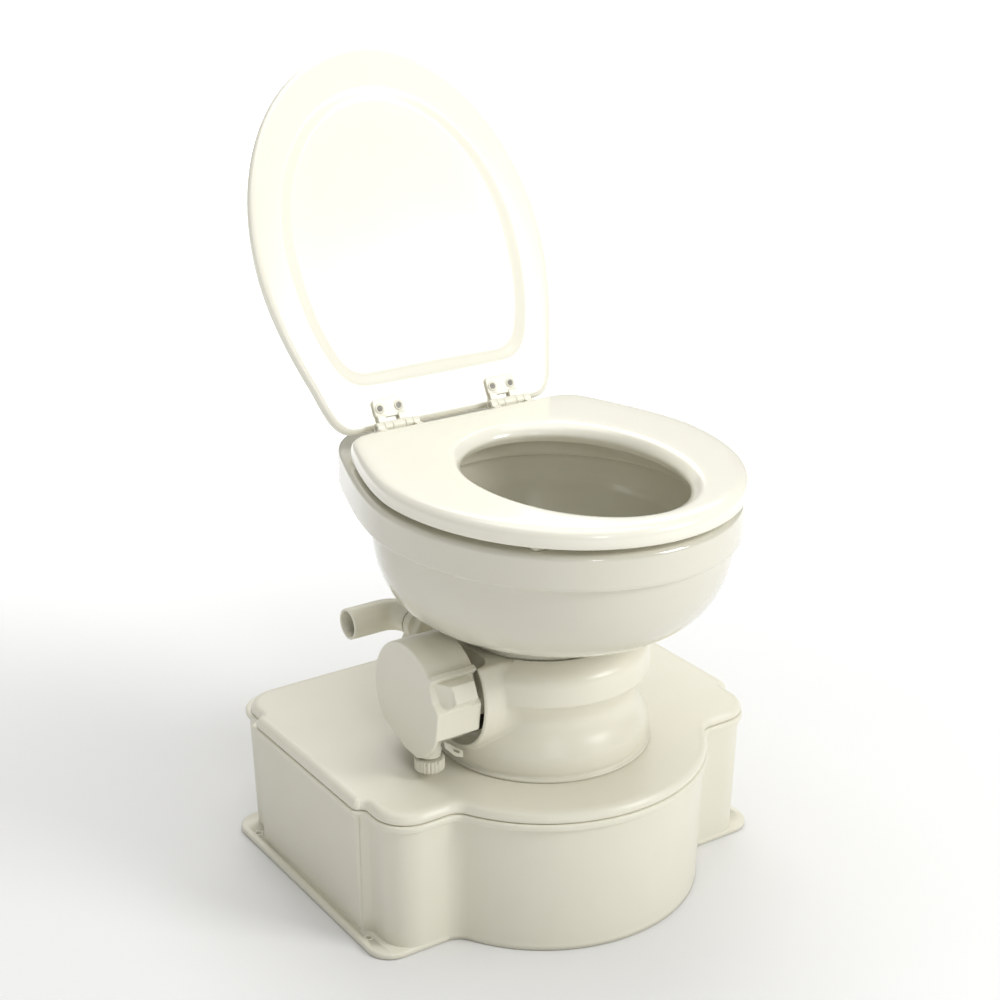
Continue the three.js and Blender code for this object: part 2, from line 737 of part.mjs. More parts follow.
function rinseNut() {
  const nut = rodY(168, 177, 0, NOZZLE_Z, 12, 6);
  return nut.subtract(rodY(160, 180, 0, NOZZLE_Z, 7.3, 20));
}

// ---------- seat, lid and hinges ----------

function seat() {
  const centre = -30;
  const outer = reach(SEAT_PLAN, centre);
  const hole = reach(SEAT_OPENING, centre);
  const out = (inset, z) => polarRing((a) => outer(a) - inset, centre, z);
  const ins = (grow, z) => polarRing((a) => hole(a) + grow, centre, z);
  return skin(
    [
      ins(2, SEAT_BOTTOM),
      out(4, SEAT_BOTTOM),
      out(0, 455),
      out(0.4, 462),
      out(4, 467.6),
      out(13, SEAT_TOP),
      ins(28, SEAT_TOP),
      ins(23, 467.8),
      ins(8, 457),
      ins(0, 452),
    ],
    true,
  );
}

// Drawn closed, about the hinge axis; the group that holds it turns it open.
function lid() {
  const centre = -30 - HINGE_Y;
  const plan = LID_PLAN.map(([x, y]) => [x, y - HINGE_Y]);
  const edge = reach(plan, centre);
  const ring = (inset, z) => polarRing((a) => edge(a) - inset, centre, z);
  const low = LID_UNDERSIDE;
  return skin([
    ring(48, low + 3.2),
    ring(32, low),
    ring(4, low),
    ring(0, low + 4.5),
    ring(0.5, low + 9),
    ring(4, low + 12.5),
    ring(14, low + LID_THICKNESS - 0.5),
    ring(60, low + LID_THICKNESS + 2.4),
  ]);
}

// Widths of the five knuckles, from the outer end to the inner one, and the gap between two.
const KNUCKLES = [9, 9.5, 15.5, 9, 8];
const KNUCKLE_TOTAL = 51;

// Start and end of a knuckle, measured along X from the barrel's outer end.
function knuckleSpan(order) {
  const before = KNUCKLES.slice(0, order).reduce((sum, w) => sum + w, 0);
  return [before + GAP / 2, before + KNUCKLES[order] - GAP / 2];
}

// A knuckle ring about the hinge axis (local frame, axis at the origin). side is -1 left, 1 right.
function knuckle(order, side) {
  const [from, to] = knuckleSpan(order).map((d) => side * (HINGE_X + KNUCKLE_TOTAL / 2 - d));
  const [x0, x1] = [Math.min(from, to), Math.max(from, to)];
  return { x0, x1, body: rodX(x0, x1, 0, 0, KNUCKLE_RADIUS, 12) };
}

function pinHole() {
  return rodX(-110, 110, 0, 0, 2.6, 8);
}

function hingePost(side) {
  const { x0, x1, body } = knuckle(2, side);
  const foot = RIM_TOP + GAP - HINGE_Z;
  const block = box(x0, x1, -5.5, 5.5, foot + 2, -1);
  const plate = rod(side * HINGE_X, 0, foot, foot + 4, 12.5, 24);
  const stud = rod(side * HINGE_X, 0, foot - 49, foot + 1, 4, 12);
  return cut(unite(block, body, plate, stud), pinHole());
}

function hingePin(side) {
  const middle = side * HINGE_X;
  const half = KNUCKLE_TOTAL / 2;
  return rodX(middle - half, middle + half, 0, 0, 2.2, 8);
}

function hingeNut(side) {
  const under = RIM_UNDERSIDE - GAP - HINGE_Z;
  const nut = unite(
    rod(side * HINGE_X, 0, under - 12, under, 7.5, 6),
    box(side * HINGE_X - 14, side * HINGE_X + 14, -1.6, 1.6, under - 12, under - 5),
    rod(side * HINGE_X, 0, under - 2.5, under, 9, 20),
  );
  return nut.subtract(rod(side * HINGE_X, 0, under - 20, under + 5, 4 + GAP, 16));
}

// Plate with rounded corners, from [x0, x1] by [y0, y1], standing from z0 to z1.
function plateWithCorners(x0, x1, y0, y1, radius, z0, z1) {
  const outline = [
    ...arc(x1 - radius, y0 + radius, radius, -90, 0, 3),
    ...arc(x1 - radius, y1 - radius, radius, 0, 90, 3),
    ...arc(x0 + radius, y1 - radius, radius, 90, 180, 3),
    ...arc(x0 + radius, y0 + radius, radius, 180, 270, 3),
  ];
  const geometry = extruded(outline, z1 - z0);
  geometry.translate(0, 0, z0);
  return solid(geometry);
}

const LEAF_HALF = 18;
const LEAF_SCREWS = [-11.5, 11.5];

// Lid leaf, drawn with the lid closed: two arms from the barrel to a plate on the lid's underside.
function lidLeaf(side) {
  const plateTop = LID_UNDERSIDE - GAP;
  const plateLow = plateTop - 3;
  const arms = [1, 3].map((order) => {
    const { x0, x1, body } = knuckle(order, side);
    return unite(body, box(x0, x1, -12, 0, 2, KNUCKLE_RADIUS), box(x0, x1, -13, -5, 2.2, plateTop));
  });
  const middle = side * HINGE_X;
  const plate = plateWithCorners(middle - LEAF_HALF, middle + LEAF_HALF, -31, -10.5, 5, plateLow, plateTop);
  const bores = LEAF_SCREWS.map((x) => rod(middle + x, -20.5, 0, 20, 2.4, 16));
  const seatSide = box(middle - 40, middle + 40, -60, -5.8, -20, 6.3);
  return cut(unite(plate, ...arms).subtract(seatSide), pinHole(), ...bores);
}

function lidScrew(side, x) {
  const middle = side * HINGE_X + x;
  const plateTop = LID_UNDERSIDE - GAP;
  const head = rod(middle, -20.5, plateTop - 4.6, plateTop - 3.2, 4, 20);
  const shank = rod(middle, -20.5, plateTop - 4, plateTop, 2, 14);
  return unite(head, shank);
}

// Seat leaf: two knuckles with arms that run forward to the seat's back edge.
function seatLeaf(side) {
  const arms = [0, 4].map((order) => {
    const { x0, x1, body } = knuckle(order, side);
    return unite(body, box(x0, x1, -14, 0, -5, 1));
  });
  const middle = side * HINGE_X;
  const half = KNUCKLE_TOTAL / 2;
  const bridge = box(middle - half + 0.2, middle + half - 0.2, -14.6, -7.6, -13, -1);
  const barrelRoom = rodX(-120, 120, 0, 0, KNUCKLE_RADIUS + 1.2, 16);
  const tidy = bridge.subtract(barrelRoom);
  return cut(unite(...arms, tidy), pinHole());
}

function seatBumper(x, y) {
  return plateWithCorners(x - 8, x + 8, y - 6, y + 6, 5, RIM_TOP + GAP, SEAT_BOTTOM - GAP);
}

// ---------- assembly ----------

const toilet = new THREE.Group();

function addMesh(parent, name, body, colour, roughness = 0.3, metalness = 0) {
  const material = new THREE.MeshStandardMaterial({ color: colour, roughness, metalness });
  const mesh = new THREE.Mesh(geometryOf(body), material);
  mesh.name = name;
  parent.add(mesh);
}

addMesh(toilet, 'tank_tub', tankTub(), BONE, 0.32);
addMesh(toilet, 'tank_deck', tankDeck(), BONE, 0.32);
addMesh(toilet, 'tank_seal', tankSeal(), 0x1b1b1b, 0.8);
addMesh(toilet, 'drop_tube', dropTube(), 0xdddbcd, 0.4);
addMesh(toilet, 'pedestal', pedestal(), BONE);
addMesh(toilet, 'clamp_band_front', clampBand(-1), BONE);
addMesh(toilet, 'clamp_band_rear', clampBand(1), BONE);
addMesh(toilet, 'bowl', bowl(), BONE, 0.15);
addMesh(toilet, 'bowl_seal', bowlSeal(), 0x222222, 0.8);
addMesh(toilet, 'flush_ball', flushBall(), BONE, 0.25);
addMesh(toilet, 'ball_shaft', ballShaft(), 0xd8d6c8, 0.4);
addMesh(toilet, 'ball_pivot_pin', ballPivotPin(), 0xd8d6c8, 0.4);
addMesh(toilet, 'shaft_bushing', ringX(-91.7, -66.5, 7.9, SHAFT_RADIUS + GAP), 0xf2f2ee, 0.4);
addMesh(toilet, 'spring_cartridge', ringX(-108, BOSS_FLOOR_X - GAP, 20, SHAFT_RADIUS + GAP), 0xd0cec0, 0.45);
addMesh(toilet, 'flush_pedal', flushPedal(), BONE);
addMesh(toilet, 'pedal_stop', pedalStop(), 0x141414, 0.75);
addMesh(toilet, 'water_valve_body', waterValveBody(), 0xdddbcd, 0.4);
addMesh(toilet, 'valve_plunger', valvePlunger(), 0xe8e6da, 0.4);
addMesh(toilet, 'valve_knob', valveKnob(), BONE);
addMesh(toilet, 'valve_clip', valveClip(), 0xc9c7b6, 0.4);
addMesh(toilet, 'discharge_riser', dischargeRiser(), BONE);
addMesh(toilet, 'elbow_seal', elbowSeal(), 0x222222, 0.8);
addMesh(toilet, 'discharge_elbow', elbow(), BONE);
addMesh(toilet, 'dip_tube', dipTube(), 0xcfcdbf, 0.5);
addMesh(toilet, 'rinse_nozzle', rinseNozzle(), 0xdddbcd, 0.4);
addMesh(toilet, 'rinse_nut', rinseNut(), 0xdddbcd, 0.4);
addMesh(toilet, 'seat', seat(), BONE, 0.2);

for (const [x, y] of [[-112, -150], [112, -150], [-118, 118], [118, 118]]) {
  const where = `${y < 0 ? 'front' : 'rear'}_${x < 0 ? 'left' : 'right'}`;
  addMesh(toilet, `seat_bumper_${where}`, seatBumper(x, y), 0xd9d7c8, 0.6);
}

const hinge = new THREE.Group();
hinge.position.set(0, HINGE_Y, HINGE_Z);
toilet.add(hinge);
const openLid = new THREE.Group();
openLid.rotation.x = deg(-LID_OPEN);
hinge.add(openLid);

addMesh(openLid, 'lid', lid(), BONE, 0.2);
for (const [side, where] of [[-1, 'left'], [1, 'right']]) {
  addMesh(hinge, `hinge_post_${where}`, hingePost(side), BONE, 0.35);
  addMesh(hinge, `hinge_pin_${where}`, hingePin(side), 0xc8c8c8, 0.3, 0.9);
  addMesh(hinge, `hinge_nut_${where}`, hingeNut(side), 0xe6e4d6, 0.4);
  addMesh(hinge, `seat_leaf_${where}`, seatLeaf(side), BONE, 0.35);
  addMesh(openLid, `lid_leaf_${where}`, lidLeaf(side), BONE, 0.35);
  LEAF_SCREWS.forEach((x, i) => {
    addMesh(openLid, `lid_screw_${where}_${i + 1}`, lidScrew(side, x), 0xbdbdb8, 0.3, 0.8);
  });
}

export default toilet;
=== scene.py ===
import json
import math

import bpy
import numpy as np
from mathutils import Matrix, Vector


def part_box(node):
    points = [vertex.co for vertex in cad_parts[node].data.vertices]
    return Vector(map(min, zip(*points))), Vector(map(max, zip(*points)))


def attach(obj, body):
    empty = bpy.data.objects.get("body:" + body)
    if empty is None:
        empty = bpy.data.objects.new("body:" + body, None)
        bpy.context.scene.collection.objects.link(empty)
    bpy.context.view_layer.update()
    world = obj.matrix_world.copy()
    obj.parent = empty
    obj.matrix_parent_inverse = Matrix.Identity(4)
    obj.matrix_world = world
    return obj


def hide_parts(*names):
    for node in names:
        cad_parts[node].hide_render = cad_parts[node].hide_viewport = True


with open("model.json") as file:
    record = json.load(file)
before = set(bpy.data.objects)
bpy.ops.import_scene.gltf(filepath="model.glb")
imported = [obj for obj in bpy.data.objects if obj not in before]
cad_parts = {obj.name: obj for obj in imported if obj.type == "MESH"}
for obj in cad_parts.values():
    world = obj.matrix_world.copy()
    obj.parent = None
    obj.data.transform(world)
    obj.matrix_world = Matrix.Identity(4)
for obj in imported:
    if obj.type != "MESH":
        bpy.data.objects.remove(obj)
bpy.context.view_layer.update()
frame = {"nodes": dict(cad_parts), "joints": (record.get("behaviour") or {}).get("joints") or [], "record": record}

MM = 0.001
COARSE = 1.0
GAP = 0.3  # mm kept between parts that touch
DECK_INSET = 1.4  # mm from the tank's widest line in to the deck's edge
DECK_SETBACK = 12  # mm by which the deck's rear edge is drawn in


# ---------- where things are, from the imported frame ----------

def node_box(name):
    """A CAD node's lowest and highest corners in millimetres."""
    low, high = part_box(name)
    return np.array(low) / MM, np.array(high) / MM


JOINTS = {joint["name"]: joint for joint in frame["joints"]}
SHAFT_Z = JOINTS["pedal_press"]["pos_m"][2] / MM
HINGE_Y, HINGE_Z = [v / MM for v in JOINTS["lid_hinge"]["pos_m"][1:]]
ELBOW_X, _, ELBOW_Z = [v / MM for v in JOINTS["elbow_swivel"]["pos_m"]]
LID_OPEN = math.radians(JOINTS["lid_hinge"]["range_deg"][1])
TANK_HALF = node_box("tank_deck")[1][0] + DECK_INSET
DECK_TOP = node_box("tank_deck")[1][2]
RIM_TOP = node_box("bowl")[1][2]
SEAT_LOW, SEAT_HIGH = node_box("seat")[0][2], node_box("seat")[1][2]
PEDAL_HIGH = node_box("flush_pedal")[1]
SHAFT_RADIUS = (node_box("ball_shaft")[1][2] - node_box("ball_shaft")[0][2]) / 2


# ---------- meshes ----------

def piece_from(name, vertices, faces, body, slot, replaces=(), scale=MM):
    """A smooth mesh piece that rides on a body and stands for CAD nodes."""
    mesh = bpy.data.meshes.new(name)
    mesh.from_pydata((np.asarray(vertices) * scale).tolist(), [], [list(f) for f in faces])
    mesh.validate()
    mesh.shade_smooth()
    piece = bpy.data.objects.new(name, mesh)
    bpy.context.scene.collection.objects.link(piece)
    finish_piece(piece, body, slot, replaces)
    return piece


def finish_piece(piece, body, slot, replaces=()):
    piece.data.materials.clear()
    piece.data.materials.append(MATERIALS[slot])
    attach(piece, body)
    if replaces:
        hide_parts(*replaces)


def loft(rings, looped=False):
    """Vertices and faces over rings of equal length, anticlockwise from above, capped or looped."""
    rings = [np.asarray(ring, float) for ring in rings]
    count = len(rings[0])
    faces = []
    last = len(rings) if looped else len(rings) - 1
    for i in range(last):
        low, high = i * count, ((i + 1) % len(rings)) * count
        for j in range(count):
            k = (j + 1) % count
            faces.append((low + j, low + k, high + k, high + j))
    if not looped:
        faces.append(tuple(range(count - 1, -1, -1)))
        top = (len(rings) - 1) * count
        faces.append(tuple(range(top, top + count)))
    return np.vstack(rings), faces


def joined(*parts):
    """Several (vertices, faces) as one."""
    vertices, faces, base = [], [], 0
    for v, f in parts:
        vertices.append(np.asarray(v, float))
        faces += [tuple(i + base for i in face) for face in f]
        base += len(v)
    return np.vstack(vertices), faces


def subtracted(part, tool):
    """One closed (vertices, faces) less another."""
    things = []
    for vertices, faces in (part, tool):
        mesh = bpy.data.meshes.new("cut")
        mesh.from_pydata(np.asarray(vertices).tolist(), [], faces)
        things.append(bpy.data.objects.new("cut", mesh))
        bpy.context.scene.collection.objects.link(things[-1])
    trim = things[0].modifiers.new("trim", "BOOLEAN")
    trim.operation, trim.solver, trim.object = "DIFFERENCE", "EXACT", things[1]
    bpy.context.view_layer.update()
    result = bpy.data.meshes.new_from_object(things[0].evaluated_get(bpy.context.evaluated_depsgraph_get()))
    vertices = [tuple(v.co) for v in result.vertices]
    faces = [tuple(face.vertices) for face in result.polygons]
    for thing in things:
        bpy.data.objects.remove(thing)
    return vertices, faces


def arc(cx, cy, radius, start, end, steps):
    angles = np.radians(np.linspace(start, end, steps + 1))
    return np.stack([cx + radius * np.cos(angles), cy + radius * np.sin(angles)], 1)


def smooth_curve(points, steps):
    """Catmull-Rom curve through the points, with steps between two."""
    p = np.asarray(points, float)
    p = np.vstack([2 * p[0] - p[1], p, 2 * p[-1] - p[-2]])
    t = np.linspace(0, 1, steps, endpoint=False)[:, None]
    out = []
    for a, b, c, d in zip(p[:-3], p[1:-2], p[2:-1], p[3:]):
        out.append(0.5 * (2 * b + (c - a) * t + (2 * a - 5 * b + 4 * c - d) * t**2
                          + (3 * b - a - 3 * c + d) * t**3))
    return np.vstack(out + [p[-2][None]])


def bezier(p0, p1, p2, p3, steps):
    t = np.linspace(0, 1, steps + 1)[:, None]
    p0, p1, p2, p3 = (np.asarray(p, float) for p in (p0, p1, p2, p3))
    return (1 - t)**3 * p0 + 3 * (1 - t)**2 * t * p1 + 3 * (1 - t) * t**2 * p2 + t**3 * p3


def round_corners(points, radii, steps=5):
    """A closed outline with each corner rounded by its own radius."""
    p = np.asarray(points, float)
    out = []
    for i, radius in enumerate(radii):
        before, here, after = p[i - 1], p[i], p[(i + 1) % len(p)]
        u, v = before - here, after - here
        lu, lv = np.linalg.norm(u), np.linalg.norm(v)
        reach = min(radius, 0.48 * lu, 0.48 * lv)
        if reach < 0.05:
            out.append(here[None])
            continue
        a, b = here + u / lu * reach, here + v / lv * reach
        t = np.linspace(0, 1, steps + 1)[:, None]
        out.append((1 - t)**2 * a + 2 * (1 - t) * t * here + t**2 * b)
    return np.vstack(out)


# ---------- solids as distance fields, in millimetres ----------

def smin(a, b, k):
    h = np.clip(0.5 + 0.5 * (b - a) / k, 0, 1)
    return b + (a - b) * h - k * h * (1 - h)


def smax(a, b, k):
    return -smin(-a, -b, k)


def polygon_field(points, pad=8.0, cell=0.4):
    """Signed distance to a closed outline, negative inside, read from a fine table."""
    p = np.asarray(points, float)
    low, high = p.min(0) - pad, p.max(0) + pad
    us, vs = (np.arange(low[i], high[i] + cell, cell) for i in (0, 1))
    u, v = np.meshgrid(us, vs, indexing="ij")
    best = np.full(u.shape, 1e9)
    inside = np.zeros(u.shape, bool)
    for (x1, y1), (x2, y2) in zip(p, np.roll(p, -1, 0)):
        ex, ey = x2 - x1, y2 - y1
        t = np.clip(((u - x1) * ex + (v - y1) * ey) / max(ex * ex + ey * ey, 1e-12), 0, 1)
        best = np.minimum(best, (u - x1 - t * ex)**2 + (v - y1 - t * ey)**2)
        if y1 != y2:
            inside ^= ((y1 > v) != (y2 > v)) & (u < ex * (v - y1) / ey + x1)
    table = np.where(inside, -1, 1) * np.sqrt(best)

    def field(a, b):
        s = np.clip((a - us[0]) / cell, 0, len(us) - 1.001)
        t = np.clip((b - vs[0]) / cell, 0, len(vs) - 1.001)
        i, j = s.astype(int), t.astype(int)
        s, t = s - i, t - j
        return ((table[i, j] * (1 - s) + table[i + 1, j] * s) * (1 - t)
                + (table[i, j + 1] * (1 - s) + table[i + 1, j + 1] * s) * t)
    return field


def slab(a, low, high):
    return np.abs(a - (low + high) / 2) - (high - low) / 2


def box_field(x, y, z, low, high, radius=0.0):
    """A box with rounded edges."""
    q = [np.abs(v - (a + b) / 2) - (b - a) / 2 + radius for v, a, b in zip((x, y, z), low, high)]
    outside = np.sqrt(sum(np.maximum(v, 0)**2 for v in q))
    return outside + np.minimum(np.maximum(np.maximum(q[0], q[1]), q[2]), 0) - radius


def rod_field(along, a, b, start, end, radius, edge=0.0):
    """A rod along one coordinate; a and b are the distances from its axis in the other two."""
    return smax(np.hypot(a, b) - radius, slab(along, start, end), max(edge, 0.01))


CELL_CORNERS = [(i, j, k) for i in (0, 1) for j in (0, 1) for k in (0, 1)]


def net(field, low, high, cell):
    """Vertices and quads on a field's zero surface, each vertex moved onto it."""
    cell = cell * COARSE
    axes = [np.arange(a, b + cell, cell) for a, b in zip(low, high)]
    value = field(*np.meshgrid(*axes, indexing="ij"))
    size = np.array(value.shape) - 1
    inside = value < 0

    def corner(array, offset):
        return array[tuple(slice(o, o + n) for o, n in zip(offset, size))]

    filled = sum(corner(inside, c).astype(int) for c in CELL_CORNERS)
    active = (filled > 0) & (filled < 8)
    total = np.zeros((*size, 3))
    hits = np.zeros(size)
    for start in CELL_CORNERS:
        for axis in range(3):
            if start[axis]:
                continue
            end = tuple(v + (n == axis) for n, v in enumerate(start))
            a, b = corner(value, start), corner(value, end)
            crosses = (a < 0) != (b < 0)
            t = np.where(crosses, a / np.where(crosses, a - b, 1), 0)
            for n in range(3):
                total[..., n] += crosses * (start[n] + (t if n == axis else 0))
            hits += crosses
    where = np.argwhere(active)
    points = where + total[active] / hits[active][:, None]
    vertices = np.array([axis[0] for axis in axes]) + points * cell
    number = np.full(size, -1)
    number[active] = np.arange(len(where))
    faces = []
    for axis in range(3):
        b, c = (axis + 1) % 3, (axis + 2) % 3
        first = inside[tuple(slice(0, -1) if n == axis else slice(None) for n in range(3))]
        second = inside[tuple(slice(1, None) if n == axis else slice(None) for n in range(3))]
        edges = np.argwhere(first != second)
        keep = np.all([(edges[:, n] >= 1) & (edges[:, n] < size[n]) for n in (b, c)], 0)
        edges = edges[keep]
        quad = []
        for db, dc in ((1, 1), (0, 1), (0, 0), (1, 0)):
            cell_at = edges.copy()
            cell_at[:, b] -= db
            cell_at[:, c] -= dc
            quad.append(number[tuple(cell_at.T)])
        quad = np.stack(quad, 1)
        outward = first[tuple(edges.T)]
        quad[~outward] = quad[~outward][:, ::-1]
        faces.append(quad)
    step = 0.05
    for _ in range(4):
        x, y, z = vertices.T
        slope = np.stack([
            (field(x + step, y, z) - field(x - step, y, z)),
            (field(x, y + step, z) - field(x, y - step, z)),
            (field(x, y, z + step) - field(x, y, z - step)),
        ], 1) / (2 * step)
        move = field(x, y, z)[:, None] * slope / np.maximum((slope**2).sum(1), 0.2)[:, None]
        length = np.linalg.norm(move, axis=1)[:, None]
        vertices = vertices - move * np.minimum(1, 0.5 * cell / np.maximum(length, 1e-9))
    return vertices, np.vstack(faces).tolist()


# ---------- materials ----------

def moulded(name, colour, roughness, coat, grain_mm, grain_height, mottle, sheen_spots=0.04):
    """Glossy or satin plastic or glaze: slow mottling, fine surface grain and uneven polish."""
    material = bpy.data.materials.new(name)
    material.use_nodes = True
    nodes, links = material.node_tree.nodes, material.node_tree.links
    shader = nodes["Principled BSDF"]
    place = nodes.new("ShaderNodeTexCoord")

    def noise(size_mm, detail):
        node = nodes.new("ShaderNodeTexNoise")
        node.inputs["Scale"].default_value = 1 / (size_mm * MM)
        node.inputs["Detail"].default_value = detail
        links.new(place.outputs["Object"], node.inputs["Vector"])
        return node.outputs["Fac"]

    tint = nodes.new("ShaderNodeValToRGB")
    dark = [c * (1 - mottle) for c in colour[:2]] + [colour[2] * (1 - 1.6 * mottle)]
    tint.color_ramp.elements[0].position = 0.3
    tint.color_ramp.elements[0].color = (*dark, 1)
    tint.color_ramp.elements[1].position = 0.7
    tint.color_ramp.elements[1].color = (*colour, 1)
    links.new(noise(60, 3), tint.inputs["Fac"])
    links.new(tint.outputs["Color"], shader.inputs["Base Color"])

    polish = nodes.new("ShaderNodeMapRange")
    polish.inputs["To Min"].default_value = max(roughness - sheen_spots, 0.02)
    polish.inputs["To Max"].default_value = roughness + sheen_spots
    links.new(noise(18, 4), polish.inputs["Value"])
    links.new(polish.outputs["Result"], shader.inputs["Roughness"])

    grain = nodes.new("ShaderNodeBump")
    grain.inputs["Strength"].default_value = 1.0
    grain.inputs["Distance"].default_value = grain_height * MM
    links.new(noise(grain_mm, 2), grain.inputs["Height"])
    links.new(grain.outputs["Normal"], shader.inputs["Normal"])
    shader.inputs["Coat Weight"].default_value = coat
    shader.inputs["Coat Roughness"].default_value = 0.05
    shader.inputs["IOR"].default_value = 1.5
    return material


def metal(name, colour, roughness):
    """Turned or pressed metal with fine brushing."""
    material = moulded(name, colour, roughness, 0.0, 0.6, 0.004, 0.06, 0.08)
    material.node_tree.nodes["Principled BSDF"].inputs["Metallic"].default_value = 1.0
    return material


BONE = (0.80, 0.775, 0.655)
MATERIALS = {
    "tank_plastic": moulded("tank_plastic", BONE, 0.34, 0.0, 1.4, 0.010, 0.02),
    "pedestal_plastic": moulded("pedestal_plastic", BONE, 0.30, 0.0, 1.6, 0.008, 0.02),
    "bowl_ceramic": moulded("bowl_ceramic", (0.68, 0.66, 0.56), 0.12, 0.6, 9.0, 0.020, 0.015, 0.03),
    "seat_enamel": moulded("seat_enamel", (0.84, 0.82, 0.71), 0.20, 0.35, 7.0, 0.012, 0.012, 0.03),
    "hinge_plastic": moulded("hinge_plastic", (0.80, 0.78, 0.67), 0.30, 0.0, 0.9, 0.006, 0.02),
    "valve_plastic": moulded("valve_plastic", (0.72, 0.70, 0.59), 0.42, 0.0, 0.9, 0.012, 0.03),
    "ball_plastic": moulded("ball_plastic", (0.74, 0.72, 0.61), 0.20, 0.2, 5.0, 0.006, 0.02),
    "shaft_plastic": moulded("shaft_plastic", (0.66, 0.64, 0.54), 0.45, 0.0, 0.7, 0.012, 0.05),
    "bushing_plastic": moulded("bushing_plastic", (0.86, 0.86, 0.82), 0.40, 0.0, 0.8, 0.006, 0.02),
    "rubber_black": moulded("rubber_black", (0.018, 0.018, 0.018), 0.62, 0.0, 0.7, 0.020, 0.25),
    "bumper_plastic": moulded("bumper_plastic", (0.72, 0.70, 0.58), 0.50, 0.0, 0.8, 0.012, 0.03),
    "pipe_plastic": moulded("pipe_plastic", BONE, 0.33, 0.0, 1.4, 0.008, 0.02),
    "screw_steel": metal("screw_steel", (0.16, 0.155, 0.14), 0.42),
    "pin_steel": metal("pin_steel", (0.55, 0.55, 0.53), 0.25),
}


# ---------- tank ----------

TANK_FRONT, TANK_MIDDLE = -78.0, 93.0
BULGE, FILLET, CORNER = 173.8, 17.0, 38.5
STEP_OUT, STEP_BLEND, STEP_Y = 10.0, 16.5, -27.0


def tank_outline(inset):
    """The tank's plan, inset from its widest line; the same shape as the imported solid, with finer arcs."""
    bulge, fillet, front = BULGE - inset, FILLET + inset, TANK_FRONT + inset
    fy = front - fillet
    fx = math.sqrt((bulge + fillet)**2 - fy**2)
    meet = math.degrees(math.atan2(fy, fx))
    corner = CORNER - inset
    cx, cy = TANK_HALF - STEP_OUT - CORNER, TANK_FRONT + CORNER
    convex = max(STEP_BLEND * 0.6 - inset, 0.6)
    hollow = STEP_BLEND - convex
    turn = math.degrees(math.acos(1 - STEP_OUT / STEP_BLEND))
    run = STEP_BLEND * math.sin(math.radians(turn))
    side = TANK_HALF - inset
    half = np.vstack([
        arc(fx, fy, fillet, 180 + meet, 90, 12),
        np.linspace([fx, front], [cx, front], 4)[1:-1],
        arc(cx, cy, corner, -90, 0, 18),
        arc(side - STEP_OUT + hollow, STEP_Y, hollow, 180, 180 - turn, 7),
        arc(side - convex, STEP_Y + run, convex, -turn, 0, 7),
    ])
    straight = 15  # the points of the bulge's fillet and of the front line, which the back lacks
    back = half[straight:][::-1] * (1, -1) + (0, 2 * TANK_MIDDLE)
    side_line = np.linspace(half[-1], back[0], 12)[1:-1]
    back_line = np.linspace(back[-1], (0, back[-1][1]), 12)[1:]
    right = np.vstack([arc(0, 0, bulge, -90, meet, 60)[:-1], half, side_line, back, back_line])
    return np.vstack([right, (right[1:-1] * (-1, 1))[::-1]])


def tank_ring(inset, z):
    plan = tank_outline(inset)
    return np.column_stack([plan, np.full(len(plan), z)])


def deck_ring(inset, z):
    """The tank's plan with its rear half drawn in. This leaves a slot open along the back of the tank."""
    ring = tank_ring(inset, z)
    scale = 1 - DECK_SETBACK / (TANK_MIDDLE - TANK_FRONT)
    ring[:, 1] = np.where(ring[:, 1] > TANK_MIDDLE, TANK_MIDDLE + (ring[:, 1] - TANK_MIDDLE) * scale, ring[:, 1])
    return ring


def rounded_profile(ring, points, radii):
    """Rings of the plan over a closed profile of [inset, z]."""
    return [ring(inset, z) for inset, z in round_corners(points, radii, 4)]


